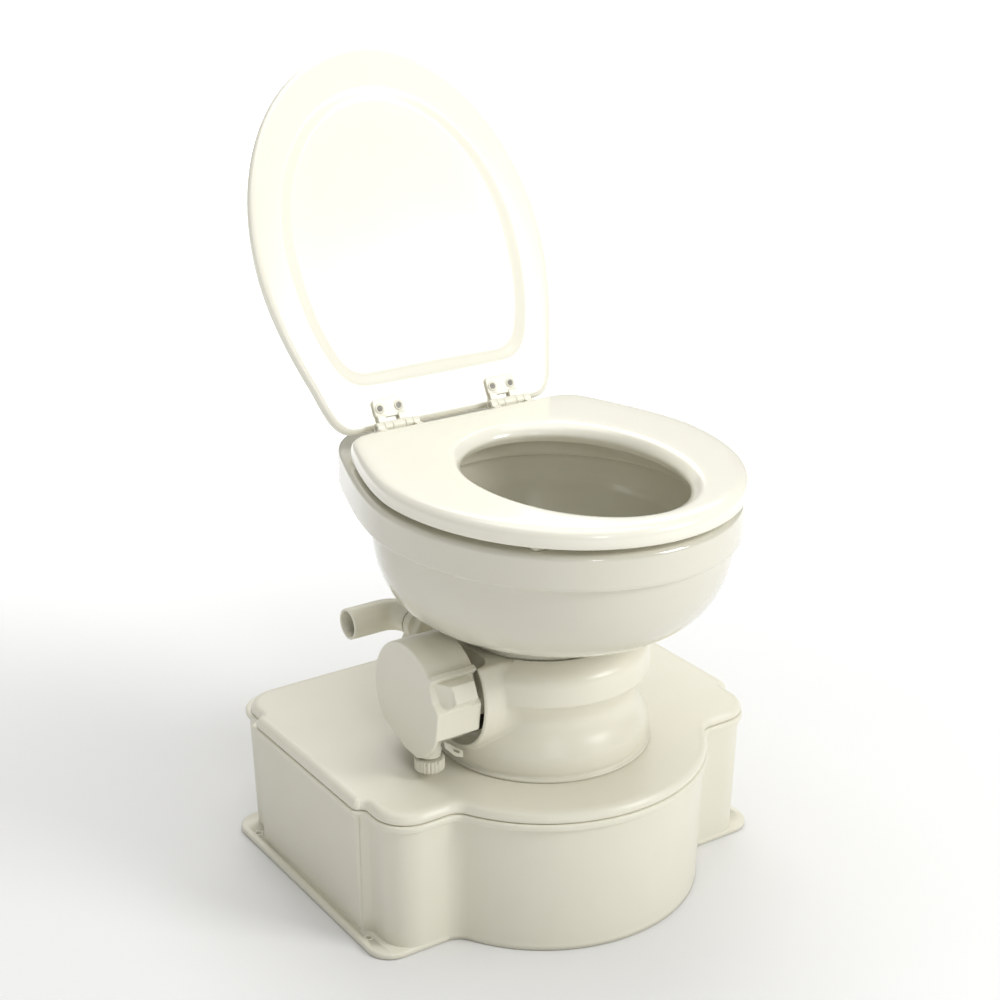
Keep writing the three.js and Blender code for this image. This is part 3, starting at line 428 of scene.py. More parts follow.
def tank_pieces():
    wall = rounded_profile(
        tank_ring,
        [[7.4, 0.6], [8.0, 8.0], [7.6, 14], [3.9, 136], [3.7, 139.4], [0, 140.4], [0, 145.6], [2.0, 147],
         [7, 147], [11.5, 4], [11.5, 0.6]],
        [0, 3, 4, 8, 0.7, 0.9, 1.6, 0.8, 1.2, 6, 0])
    half_x, half_y = 241.6, 163.6
    radius, middle = 27.0, 93.0
    base = np.vstack([arc(sx * (half_x - radius), middle + sy * (half_y - radius), radius, a, a + 90, 14)
                      for sx, sy, a in ((1, -1, -90), (1, 1, 0), (-1, 1, 90), (-1, -1, 180))])
    centre = np.array([0, middle])

    def base_ring(inset, z):
        scale = 1 - inset / np.array([half_x, half_y])
        return np.column_stack([centre + (base - centre) * scale, np.full(len(base), z)])

    flange = loft([base_ring(1.0, 0), base_ring(0, 0.8), base_ring(0, 4.4), base_ring(0.5, 5.5),
                   base_ring(1.6, 6.0)])
    screws = [(s * 231, y) for s in (-1, 1) for y in (-28, 214)]
    drills = [loft([np.column_stack([arc(x, y, 3, 0, 360, 32)[:-1], np.full(32, z)]) for z in (-2, 8)])
              for x, y in screws]
    vertices, faces = joined(loft(wall, looped=True), subtracted(flange, joined(*drills)))
    tub = piece_from("tank_tub_looks", vertices, faces, "base", "tank_plastic", ["tank_tub"])
    for n, (x, y) in enumerate(screws):
        ring = [np.column_stack([arc(x, y, r, 0, 360, 32)[:-1], np.full(32, z)])
                for r, z in ((2.9, 0.2), (5.0, 0.2), (5.2, 5.8), (5.2, 6.05), (4.6, 6.3), (3.6, 6.25), (2.9, 5.9))]
        v, f = loft(ring, looped=True)
        piece_from(f"floor_screw_rim_{n}", v, f, "base", "tank_plastic")
    top = rounded_profile(
        deck_ring,
        [[10.5, 150.6], [6.5, 150.6], [6.5, 147.3], [3.4, 147.3], [DECK_INSET, 149.2], [DECK_INSET, 152.2],
         [4.6, 157.4], [10.0, DECK_TOP], [14.0, DECK_TOP]],
        [0, 0.4, 0.4, 0.8, 1.2, 3.0, 4.0, 5.0, 0])
    outline = top[-1][:, :2]
    reach = np.linalg.norm(outline, axis=1)[:, None]
    hole = outline / reach * (node_box("tank_seal")[1][0] + GAP)
    for share in np.linspace(0.06, 1, 12):
        top.append(np.column_stack([outline + (hole - outline) * share, np.full(len(outline), DECK_TOP)]))
    under = [np.column_stack([hole, np.full(len(hole), 155.0)])]
    for share in np.linspace(1, 0, 8)[1:]:
        flat = top[0][:, :2] + (hole - top[0][:, :2]) * share
        under.append(np.column_stack([flat, np.full(len(flat), 155.0)]))
    vertices, faces = loft(top + under, looped=True)
    piece_from("tank_deck_looks", vertices, faces, "base", "tank_plastic", ["tank_deck"])
    return tub


# ---------- pedestal, boss and band ----------

BOSS_OUTER = [[0, -50], [0, -113], [62.8, -113], [64.0, -112.4], [64.5, -110.5], [64.4, -104], [64.0, -97],
              [64.2, -89], [65.0, -81], [66.0, -73], [66.0, -66], [60, -57]]


SHOULDER = smooth_curve([[110.5, 259], [110.2, 264], [108.6, 268.6], [105, 273.2], [100.2, 277],
                         [95, 280.2], [91.6, 282.0], [89.8, 283.0]], 6)
BAND_PROFILE = np.vstack([[[101.3, 240], [108.2, 240], [109.6, 240.6], [110.3, 242.0], [110.5, 245]],
                          SHOULDER, [[88.8, 282.6], [88.4, 279.8], [90.3, 278.6], [96.3, 275.0], [101.3, 269.3]]])


def pedestal_field():
    outer = smooth_curve([[106.6, 163.9], [109.6, 165.4], [110.5, 169], [110.6, 176], [110.3, 182]], 6)
    cone = smooth_curve([[109.9, 185], [105.6, 193.5], [100.8, 202], [97.6, 210], [96.6, 217], [97.8, 224],
                         [101.4, 231.4], [106.8, 239.7]], 8)
    profile = np.vstack([
        [[70.3, 270], [96, 270], [96, 238], [91, 226], [91, 210], [104.5, 182],
         [104.5, 159.3], [112.2, 159.3], [113, 160.0], [113, 161.4], [112.2, 162.2], [110.4, 162.6]],
        outer[6:], cone, [[101, 239.7], [101, 269], [96, 274.6], [90, 278.2], [88, 279], [88, 281], [70.3, 281]],
    ])
    wall = polygon_field(profile)
    boss = polygon_field(BOSS_OUTER, pad=24)
    cup = polygon_field([[0, -93], [0, -120], [60.2, -120], [60.4, -110], [59.0, -104], [55.5, -98.5],
                         [50, -94.6], [44, -93]])
    band = polygon_field(BAND_PROFILE)
    under_band = 0.25  # how far below the band's surface the boss's fillet starts

    def field(x, y, z):
        r = np.hypot(x, y)
        across = np.hypot(y, z - SHAFT_Z)
        horn = boss(across, x)
        solid = smin(wall(r, z), horn, 4.0)
        beside = np.maximum(smin(band(r, z) + under_band, horn, 4.0), horn - 14)
        solid = np.minimum(solid, beside)
        solid = smax(solid, z - 280.9, 2.0)
        solid = smax(solid, -cup(across, x), 1.4)
        solid = np.maximum(solid, -np.maximum(r - 70.3, 130 - z))
        solid = np.maximum(solid, -np.maximum(r - 76.3, 277.7 - z))
        return np.maximum(solid, -rod_field(x, y, z - SHAFT_Z, -94, -60, 8.2))
    return field


def drop_tube_piece():
    wall = polygon_field(round_corners(
        [[66, 140], [70, 140], [70, 278], [76, 278], [76, 281], [66, 281]], [1, 1, 1.5, 0.5, 0.8, 0.8]))

    def field(x, y, z):
        solid = wall(np.hypot(x, y), z)
        solid = np.maximum(solid, -rod_field(x, y, z - SHAFT_Z, -80, -60, 8.2))
        return np.maximum(solid, -rod_field(x, y, z - SHAFT_Z, 60, 75, 5.3))
    vertices, faces = net(field, (-78, -78, 138), (78, 78, 283), 1.2)
    piece_from("drop_tube_looks", vertices, faces, "base", "pedestal_plastic", ["drop_tube"])


def pedestal_pieces():
    vertices, faces = net(pedestal_field(), (-116, -116, 157), (116, 116, 284), 1.2)
    piece_from("pedestal_looks", vertices, faces, "base", "pedestal_plastic", ["pedestal"])
    band = polygon_field(BAND_PROFILE)
    boss = polygon_field(BOSS_OUTER)
    for name, side in (("front", -1), ("rear", 1)):
        def field(x, y, z, side=side):
            ring = band(np.hypot(x, y), z)
            clear = boss(np.hypot(y, z - SHAFT_Z), x) - 0.6
            ring = smax(ring, -clear, 0.8)
            return smax(ring, GAP / 2 - side * y, 0.5)
        low = (-112, -112, 238) if side < 0 else (-112, -1, 238)
        high = (112, 1, 285) if side < 0 else (112, 112, 285)
        vertices, faces = net(field, low, high, 1.15)
        piece_from(f"clamp_band_{name}_looks", vertices, faces, "base", "pedestal_plastic",
                   [f"clamp_band_{name}"])


# ---------- bowl, seat and lid ----------

def egg(half, widest, front, side, corner):
    """A seat-like plan: half an ellipse in front, a side curve, and a corner to a straight back."""
    right = np.vstack([
        arc(0, 0, 1, -90, 0, 48) * (half, widest - front) + (0, widest),
        bezier([half, widest], *side, 32)[1:],
        bezier(side[-1], *corner, 32)[1:],
    ])
    return np.vstack([right, (right[1:] * (-1, 1))[::-1]])


RIM_PLAN = egg(184, -2, -217, [[184, 50], [158, 118], [142, 162]], [[131, 192], [112, 238], [60, 238]])
SEAT_PLAN = egg(183, -10, -222, [[183, 35], [160, 98], [146, 132]], [[140, 147], [128, 153], [110, 153]])
LID_PLAN = egg(175.5, -15, -241, [[175.5, 30], [163, 75], [150, 112]], [[140, 142], [138, 168], [112, 168]])
RECESS_PLAN = egg(135, -20, -190, [[135, 20], [130, 55], [118, 85]], [[110, 106], [98, 115], [80, 115]])
ANGLES = np.linspace(0, 2 * math.pi, 288, endpoint=False)


def ellipse_plan(half, front, middle, back):
    u = arc(0, 0, 1, -90, 270, 360)[:-1]
    depth = np.where(u[:, 1] < 0, middle - front, back - middle)
    return np.column_stack([half * u[:, 0], middle + depth * u[:, 1]])


def reach_of(plan, centre):
    """The plan's distance from a centre on X = 0 in each of the directions of ANGLES."""
    p = plan - (0, centre)
    q = np.roll(p, -1, 0)
    e = q - p
    out = []
    for a in ANGLES:
        dx, dy = math.cos(a), math.sin(a)
        det = dx * e[:, 1] - dy * e[:, 0]
        det = np.where(np.abs(det) < 1e-9, 1e-9, det)
        t = (p[:, 0] * e[:, 1] - p[:, 1] * e[:, 0]) / det
        s = (p[:, 0] * dy - p[:, 1] * dx) / det
        ok = (t > 0) & (s >= -1e-6) & (s <= 1 + 1e-6)
        out.append(t[ok].max())
    return np.array(out)


def polar_ring(radius, centre, z):
    radius = np.broadcast_to(radius, ANGLES.shape)
    return np.column_stack([radius * np.cos(ANGLES), centre + radius * np.sin(ANGLES),
                            np.broadcast_to(z, ANGLES.shape)])


def bowl_piece():
    rim, body = reach_of(RIM_PLAN, 0), reach_of(ellipse_plan(180, -212, -2, 168), 0)
    opening = reach_of(ellipse_plan(140, -176, -26, 122), 0)
    shares = smooth_curve([[0.035, 290], [0.06, 292.6], [0.15, 297], [0.265, 303], [0.5, 313.4], [0.69, 327],
                           [0.83, 346], [0.92, 368], [0.965, 390], [0.985, 407.2]], 7)
    rings = [polar_ring(r, 0, z) for r, z in
             ((64.7, 285.3), (64.7, 281.6), (65, 281.3), (86, 281.3), (87, 281.9), (87.4, 284), (88.6, 287.4))]
    rings += [polar_ring(88 + (body - 88) * s, 0, z) for s, z in shares]
    rim_low = node_box("bowl")[1][2] - 35
    rings += [polar_ring(np.maximum(rim - 1.6, body * 0.985), 0, rim_low),
              polar_ring(rim - 0.5, 0, rim_low + 0.5), polar_ring(rim, 0, rim_low + 1.8)]
    rings += [polar_ring(rim, 0, z) for z in np.linspace(rim_low + 5, RIM_TOP - 6.5, 7)]
    for a in np.radians(np.linspace(0, 90, 9))[1:]:
        rings.append(polar_ring(rim - 6 * (1 - math.cos(a)), 0, RIM_TOP - 6 + 6 * math.sin(a)))
    rings += [polar_ring(rim - 6 + (opening + 6 - rim + 6) * s, 0, RIM_TOP) for s in (0.1, 0.3, 0.5, 0.7, 0.9)]
    for a in np.radians(np.linspace(0, 90, 9)):
        rings.append(polar_ring(opening + 6 - 6 * math.sin(a), 0, RIM_TOP - 6 + 6 * math.cos(a)))
    rings += [polar_ring(opening, 0, z) for z in np.linspace(RIM_TOP - 10, 424.4, 5)]
    rings += [polar_ring(opening + d, 0, z) for d, z in ((0.8, 422.6), (3, 421.2), (8, 420.6), (11.2, 419.6),
                                                         (12, 417), (12, 412), (12, 406))]
    basin = smooth_curve([[1.0, 401], [0.99, 389], [0.96, 377], [0.84, 348], [0.66, 327], [0.4, 311.4],
                          [0.15, 302.4], [0.03, 298.4], [0.0, 296]], 7)
    rings += [polar_ring(43 + (opening + 12 - 43) * s, 0, z) for s, z in basin]
    rings += [polar_ring(43, 0, z) for z in (292, 288, 285.3)]
    vertices, faces = loft(rings, looped=True)
    piece_from("bowl_looks", vertices, faces, "base", "bowl_ceramic", ["bowl"])


def seat_piece():
    centre = -30
    outer = reach_of(SEAT_PLAN, centre)
    hole = reach_of(ellipse_plan(100, -182, -46, 82), centre)
    lip = reach_of(ellipse_plan(105.5, -193, -46, 89), centre)
    low, high = SEAT_LOW, SEAT_HIGH
    section = [(4.2, low), (1.6, low + 0.7), (0.3, low + 2.6), (0, low + 5), (0, low + 9), (0.7, low + 13),
               (2.2, low + 15.8), (4.6, low + 17.9), (8, low + 19.1), (12, low + 19.8), (16, low + 20)]
    rings = [polar_ring(outer - d, centre, z) for d, z in section]
    for s in (0.25, 0.5, 0.75, 1.0):
        rings.append(polar_ring(outer - 16 - (outer - 24 - lip) * s, centre, high))
    rings += [polar_ring(lip + d, centre, low + z) for d, z in ((5, 19.85), (2.4, 19.3), (0.6, 18.4))]
    rings += [polar_ring(hole + (lip - hole) * s, centre, low + z) for s, z in
              ((0.8, 17.0), (0.55, 15.4), (0.3, 13.4), (0.12, 11.4), (0.03, 9.8), (0, 8.4))]
    rings += [polar_ring(hole + d, centre, low + z) for d, z in
              ((0.6, 6.8), (1.8, 4.8), (3.4, 2.6), (4.6, 1.0), (5.6, 0.3), (7.2, 0))]
    vertices, faces = loft(rings, looped=True)
    piece_from("seat_looks", vertices, faces, "seat_body", "seat_enamel", ["seat"])


def opened(vertices):
    """Turns a shape drawn with the lid closed, about the hinge axis, to where the lid is drawn."""
    v = np.asarray(vertices, float)
    c, s = math.cos(-LID_OPEN), math.sin(-LID_OPEN)
    return np.column_stack([v[:, 0], HINGE_Y + c * v[:, 1] - s * v[:, 2], HINGE_Z + s * v[:, 1] + c * v[:, 2]])


def lid_piece():
    centre = -30 - HINGE_Y
    edge = reach_of(LID_PLAN - (0, HINGE_Y), centre)
    low = 10.6  # the lid's underside above the hinge axis
    recess = reach_of(RECESS_PLAN - (0, HINGE_Y), centre)
    rings = [polar_ring(1.0, centre, low + 3.4)]
    for s in (0.2, 0.5, 0.8, 1.0):
        rings.append(polar_ring((recess - 9) * s, centre, low + 3.4))
    for t in np.linspace(0, 1, 9)[1:]:
        rings.append(polar_ring(recess - 9 + 17 * t, centre, low + 3.4 * (1 - (3 * t**2 - 2 * t**3))))
    rings += [polar_ring(edge - d, centre, low + z) for d, z in
              (((edge - recess - 8) * 0.6, 0), (8, 0), (5, 0.1), (2.4, 0.7), (0.8, 2.0), (0, 4.2), (0, 7.4),
               (0.6, 9.8), (2.2, 11.8), (4.8, 13.2), (9, 14.2), (16, 14.9), (34, 15.9), (60, 17.0), (100, 17.4))]
    rings.append(polar_ring(1.0, centre, low + 17.4))
    vertices, faces = loft(rings)
    piece_from("lid_looks", opened(vertices), faces, "lid_body", "seat_enamel", ["lid"])


# ---------- pedal ----------

def pedal_piece():
    radius = PEDAL_HIGH[1]
    x0, x1 = -166.0, -114.5
    lip = arc(0, 0, radius, -40, 137, 60)
    front = [[-46, 44], [-52, 41], [-45, 33], [-50, 16], [-59.5, 7], [-55.5, -22]]
    drum = polygon_field(np.vstack([lip, front, arc(0, 0, radius, 204, 252, 16), [[4, -55]]]))
    inner = radius - 4
    cavity = polygon_field(np.vstack([arc(0, 0, inner, -55, 132, 60), [[-38, 30], [-44, 14], [-56.3, 4],
                                      [-52.6, -22], [-70, -40], [-60, -80], [70, -80]]]))
    below = polygon_field([[-75, -23], [-75, -80], [80, -80], [80, -39]])
    bar = polygon_field([[-40, 36], [-59.5, 34], [-67, 18], [-57, 8], [-46, 8], [-44, 20]])
    slant = polygon_field([[-176, -90], [-149, -90], [-149, -61], [-166, -37], [-166, -20], [-176, -20]])
    cam = []
    for a in range(0, 360, 4):
        ahead = ((270 - a) % 360) / 34
        lift = ahead if ahead <= 1 else max(0, 1 - (ahead - 1) * 1.5)
        cam.append([(11.7 + 5 * lift) * math.cos(math.radians(a)), (11.7 + 5 * lift) * math.sin(math.radians(a))])
    cam = polygon_field(cam)

    def field(x, y, z):
        h = z - SHAFT_Z
        shell = smax(drum(y, h), slab(x, x0, x1), 2.2)
        hollow = np.maximum(cavity(y, h), x0 + 4 - x)
        shell = smax(shell, -hollow, 1.2)
        shell = smax(shell, -np.maximum(below(y, h), x0 + 4 - x), 1.2)
        tread = smax(bar(y, h), slab(x, -170, -123), 1.1)
        tread = smax(tread, -slant(x, y), 0.8)
        shell = smin(shell, tread, 0.8)
        hub = smin(rod_field(x, y, h, x0 + 1, -128, 10, 1.2), smax(cam(y, h), slab(x, -153, -145), 0.8), 1.0)
        shell = smin(shell, hub, 1.5)
        angle = math.radians(171.2)
        along, off = y * math.cos(angle) + h * math.sin(angle), -y * math.sin(angle) + h * math.cos(angle)
        rib = smax(smax(slab(along, 39, 57.5), slab(off, -1.5, 1.5), 0.8), slab(x, -120, x1), 0.8)
        shell = smin(shell, rib, 1.0)
        return np.maximum(shell, -rod_field(x, y, h, -160.3, -100, SHAFT_RADIUS + GAP))
    vertices, faces = net(field, (-169, -71, 180), (-112, 63, 305), 0.85)
    piece_from("flush_pedal_looks", vertices, faces, "pedal_body", "pedestal_plastic", ["flush_pedal"])


# ---------- flush ball, valve and discharge ----------

def ball_piece():
    def field(x, y, z):
        h = z - SHAFT_Z
        r = np.sqrt(x**2 + y**2 + h**2)
        dome = smax(np.maximum(r - 58, 54 - r), -14 - h, 1.4)
        for start, end in ((-62, -49), (49, 62)):
            dome = smin(dome, rod_field(x, y, h, start, end, 10, 1.2), 2.5)
        dome = np.maximum(dome, -rod_field(x, y, h, -70, -52, SHAFT_RADIUS + GAP))
        return np.maximum(dome, -rod_field(x, y, h, 52, 70, 5.3))
    vertices, faces = net(field, (-64, -60, 224), (64, 60, 302), 1.2)
    piece_from("flush_ball_looks", vertices, faces, "ball_body", "ball_plastic", ["flush_ball"])


def knob_piece():
    low, high = node_box("valve_knob")
    cx, cy = (low[0] + high[0]) / 2, (low[1] + high[1]) / 2

    def field(x, y, z):
        dx, dy = x - cx, y - cy
        r, a = np.hypot(dx, dy), np.arctan2(dy, dx)
        cap = smax(r - 15 + 0.45 * np.cos(24 * a), slab(z, 168.5, 181), 1.8)
        beat = (a / (math.pi / 4) - np.round(a / (math.pi / 4))) * (math.pi / 4) * r
        notch = np.maximum(np.maximum(np.abs(beat) - 1, 13.5 - r), 178 - z)
        cap = smax(cap, -notch, 0.5)
        return smin(cap, smax(r - 4, slab(z, 170, 182.7), 0.6), 1.0)
    vertices, faces = net(field, (cx - 17, cy - 17, 167), (cx + 17, cy + 17, 184), 0.5)
    piece_from("valve_knob_looks", vertices, faces, "knob_body", "valve_plastic", ["valve_knob"])


def valve_pieces():
    def body(x, y, z):
        r = np.hypot(x + 149, y + 16)
        barrel = smax(r - 11.5, slab(z, 183, 213), 1.4)
        neck = smax(r - 6.5, slab(z, 212, 216.8), 0.8)
        arm = rod_field(x, y + 16, z - 200, -149, -92.3, 6.5, 1.0)
        rib = smax(np.abs(z - 190) - 1.1, r - 12.4, 0.6)
        solid = smin(smin(barrel, arm, 3.0), smin(neck, rib, 0.8), 1.0)
        return np.maximum(solid, -np.maximum(r - 4, 203 - z))
    vertices, faces = net(body, (-163, -30, 181), (-90, -2, 219), 0.7)
    piece_from("water_valve_looks", vertices, faces, "base", "valve_plastic", ["water_valve_body"])
    tab = polygon_field([[-137, 198], [-136, 190], [-124.5, 177.5], [-114.5, 173], [-115, 181.5]])
    slot = polygon_field([[-126, 186.5], [-126, 184], [-119, 178.5], [-119, 181.5]])

    def clip(x, y, z):
        plate = smax(smax(tab(x, z), slab(y, -25, -22.8), 0.7), -slot(x, z), 0.5)
        return plate
    vertices, faces = net(clip, (-139, -26, 171), (-112, -21, 200), 0.35)
    piece_from("valve_clip_looks", vertices, faces, "base", "valve_plastic", ["valve_clip"])

    def stop(x, y, z):
        return rod_field(x, y + 36.6, z - SHAFT_Z + 27, -117, -92.3, 7, 2.4)
    vertices, faces = net(stop, (-119, -46, 205), (-90, -27, 225), 0.7)
    piece_from("pedal_stop_looks", vertices, faces, "base", "rubber_black", ["pedal_stop"])


def discharge_pieces():
    duct = polygon_field([[-112, 159.3], [-82, 159.3], [-82, 240], [-80, 292], [-91, 292], [-112, 254]])
    room = polygon_field([[-109, 150], [-85, 150], [-85, 240], [-83, 288], [-90, 288], [-109, 253]])

    def riser(x, y, z):
        solid = smax(duct(x, z), slab(y, 80.3, 101), 3.0)
        collar = rod_field(y, x - ELBOW_X, z - ELBOW_Z, 90, 101, 15.6, 0.8)
        solid = smin(solid, collar, 3.0)
        solid = smax(solid, -np.maximum(room(x, z), slab(y, 83, 98)), 0.6)
        solid = np.maximum(solid, 159.3 - z)
        return np.maximum(solid, -rod_field(y, x - ELBOW_X, z - ELBOW_Z, 96, 110, 10.5))
    vertices, faces = net(riser, (-115, 78, 157), (-74, 103, 295), 0.9)
    piece_from("discharge_riser_looks", vertices, faces, "base", "pipe_plastic", ["discharge_riser"])
    bend, start, leg, mouth = 24.0, 101.6, 134.0, -155.5
    route = [(ELBOW_X, y) for y in np.linspace(start, leg - bend, 8)[:-1]]
    route += [tuple(p) for p in arc(ELBOW_X - bend, leg - bend, bend, 0, 90, 24)]
    route += [(x, leg) for x in np.linspace(ELBOW_X - bend, mouth, 14)[1:]]
    route = np.array(route)
    ahead = np.gradient(route, axis=0)
    ahead /= np.linalg.norm(ahead, axis=1)[:, None]
    turn = np.linspace(0, 2 * math.pi, 72, endpoint=False)

    def ring(at, radius, back=0.0):
        d = ahead[at]
        centre = np.array([*route[at], ELBOW_Z]) - back * np.array([*d, 0])
        across = np.array([d[1], -d[0], 0])
        return centre + radius * (np.cos(turn)[:, None] * across + np.sin(turn)[:, None] * np.array([0, 0, 1]))
    outside, inside = 16.7, 14.1
    last = len(route) - 1
    rings = [ring(0, outside - 0.8)] + [ring(i, outside) for i in range(0, last)]
    rings += [ring(last, outside, 0.9), ring(last, outside - 0.3, 0.3), ring(last, outside - 0.9)]
    rings += [ring(last, inside + 0.7), ring(last, inside + 0.2, 0.3), ring(last, inside, 0.9)]
    rings += [ring(i, inside) for i in range(last - 1, -1, -1)]
    vertices, faces = loft(rings, looped=True)
    faces = [face[::-1] for face in faces]
    piece_from("discharge_elbow_looks", vertices, faces, "elbow_body", "pipe_plastic", ["discharge_elbow"])


# ---------- hinges ----------

KNUCKLES = [9, 9.5, 15.5, 9, 8]
BARREL = sum(KNUCKLES)
HINGE_X = 70.5


def knuckle_span(order, side):
    before = sum(KNUCKLES[:order])
    ends = [side * (HINGE_X + BARREL / 2 - d) for d in (before + GAP / 2, before + KNUCKLES[order] - GAP / 2)]
    return min(ends), max(ends)


def hinge_pieces():
    for side, name in ((-1, "left"), (1, "right")):
        middle = side * HINGE_X

        def knuckles(orders, x, y, z):
            best = np.full(x.shape, 1e3)
            for order in orders:
                a, b = knuckle_span(order, side)
                best = np.minimum(best, rod_field(x, y, z, a, b, 5.5, 0.5))
            return best

        def drill(solid, x, y, z):
            return np.maximum(solid, -(np.hypot(y, z) - 2.6))

        def post(x, y, z):
            a, b = knuckle_span(2, side)
            foot = RIM_TOP + GAP - HINGE_Z
            r = np.hypot(x - middle, y)
            plate = smax(r - 12.5, slab(z, foot, foot + 4), 1.2)
            block = box_field(x, y, z, (a, -5.5, foot + 2), (b, 5.5, -1), 0.6)
            stud = smax(r - 4, slab(z, foot - 49, foot + 1), 0.6)
            solid = smin(smin(plate, block, 1.6), smin(knuckles([2], x, y, z), stud, 0.3), 0.6)
            return drill(solid, x, y, z)

        def lid_leaf(x, y, z):
            top = 10.6 - GAP
            plate = box_field(x, y, np.zeros_like(z), (middle - 18, -31, -9), (middle + 18, -10.5, 9), 5.0)
            plate = smax(plate, slab(z, top - 3, top), 0.9)
            solid = plate
            for order in (1, 3):
                a, b = knuckle_span(order, side)
                arm = smin(box_field(x, y, z, (a, -12, 2), (b, 0, 5.5), 0.4),
                           box_field(x, y, z, (a, -13, 2.2), (b, -5, top), 0.4), 0.8)
                solid = smin(solid, arm, 1.0)
            solid = smin(solid, knuckles([1, 3], x, y, z), 0.4)
            solid = np.maximum(solid, -np.maximum(np.maximum(y + 5.8, z - 6.3), -20 - z))
            for offset in (-11.5, 11.5):
                r = np.hypot(x - middle - offset, y + 20.5)
                solid = smin(solid, smax(r - 4.9, slab(z, top - 4.3, top - 2), 0.9), 0.8)
                solid = smax(solid, -np.maximum(r - 3.1, z - (top - 3.2)), 0.5)
                solid = smax(solid, -np.maximum(r - 2.4, -z), 0.3)
            return drill(solid, x, y, z)

        def seat_leaf(x, y, z):
            solid = knuckles([0, 4], x, y, z)
            for order in (0, 4):
                a, b = knuckle_span(order, side)
                solid = smin(solid, box_field(x, y, z, (a, -14, -5), (b, 0, 1), 0.5), 0.5)
            bridge = box_field(x, y, z, (middle - 25.3, -14.6, -13), (middle + 25.3, -7.6, -1), 0.8)
            bridge = np.maximum(bridge, -(np.hypot(y, z) - 6.7))
            return drill(smin(solid, bridge, 0.6), x, y, z)

        def here(v):
            return v + (0, HINGE_Y, HINGE_Z)
        x0, x1 = middle - 27, middle + 27
        v, f = net(post, (middle - 14, -14, -72), (middle + 14, 14, 7), 0.7)
        piece_from(f"hinge_post_{name}_looks", here(v), f, "base", "hinge_plastic", [f"hinge_post_{name}"])
        v, f = net(seat_leaf, (x0, -16, -15), (x1, 7, 7), 0.5)
        piece_from(f"seat_leaf_{name}_looks", here(v), f, "seat_body", "hinge_plastic", [f"seat_leaf_{name}"])
        v, f = net(lid_leaf, (x0, -32.5, -7), (x1, 7, 12), 0.5)
        piece_from(f"lid_leaf_{name}_looks", opened(v), f, "lid_body", "hinge_plastic", [f"lid_leaf_{name}"])
        for n, offset in ((1, -11.5), (2, 11.5)):
            screw_piece(f"lid_screw_{name}_{n}", middle + offset)


def screw_piece(node, x):
    """A small countersunk screw with a cross recess."""
    top = 10.6 - GAP

    def field(a, b, c):
        r = np.hypot(a - x, b + 20.5)
        head = smax(r - 2.8, slab(c, top - 4.1, top - 3.2), 0.3)
        cross = np.minimum(np.maximum(np.abs(a - x) - 0.45, np.abs(b + 20.5) - 1.7),
                           np.maximum(np.abs(b + 20.5) - 0.45, np.abs(a - x) - 1.7))
        head = np.maximum(head, -np.maximum(cross, c - (top - 3.6)))
        return smin(head, smax(r - 2, slab(c, top - 4, top), 0.2), 0.2)
    v, f = net(field, (x - 5, -25.5, top - 5.6), (x + 5, -15.5, top + 1), 0.25)
    piece_from(f"{node}_looks", opened(v), f, "lid_body", "screw_steel", [node])


# ---------- CAD nodes that stay, with softened edges ----------

KEPT = {
    "tank_seal": 0.8, "bowl_seal": 0.6, "ball_shaft": 0.5, "ball_pivot_pin": 0.5, "shaft_bushing": 0.4,
    "spring_cartridge": 0.6, "valve_plunger": 0.3, "elbow_seal": 0.05, "dip_tube": 0.3, "rinse_nozzle": 0.5,
    "rinse_nut": 0.6, "hinge_pin_left": 0.3, "hinge_pin_right": 0.3, "hinge_nut_left": 0.4,
    "hinge_nut_right": 0.4, "seat_bumper_front_left": 1.2, "seat_bumper_front_right": 1.2,
    "seat_bumper_rear_left": 1.2, "seat_bumper_rear_right": 1.2,
}


def keep_cad_nodes():
    slots = {row["node"]: row["material_slot"] for row in frame["record"]["subparts"]}
    for node, edge in KEPT.items():
        thing = frame["nodes"][node]
        thing.data.materials.clear()
        thing.data.materials.append(MATERIALS[slots[node]])
        weld = thing.modifiers.new("weld", "WELD")
        weld.merge_threshold = 0.02 * MM
        bevel = thing.modifiers.new("bevel", "BEVEL")
        bevel.width = edge * MM
        bevel.segments = 3
        bevel.limit_method = "ANGLE"
        bevel.angle_limit = math.radians(40)
        thing.modifiers.new("normals", "WEIGHTED_NORMAL")


# ---------- stage, light and camera ----------

def area_light(name, at, towards, size, power, colour=(1, 1, 1)):
    data = bpy.data.lights.new(name, "AREA")
    data.shape = "RECTANGLE"
    data.size, data.size_y = size
    data.energy = power
    data.color = colour
    light = bpy.data.objects.new(name, data)
    bpy.context.scene.collection.objects.link(light)
    light.location = at
    light.rotation_euler = (Vector(towards) - Vector(at)).to_track_quat("-Z", "Y").to_euler()


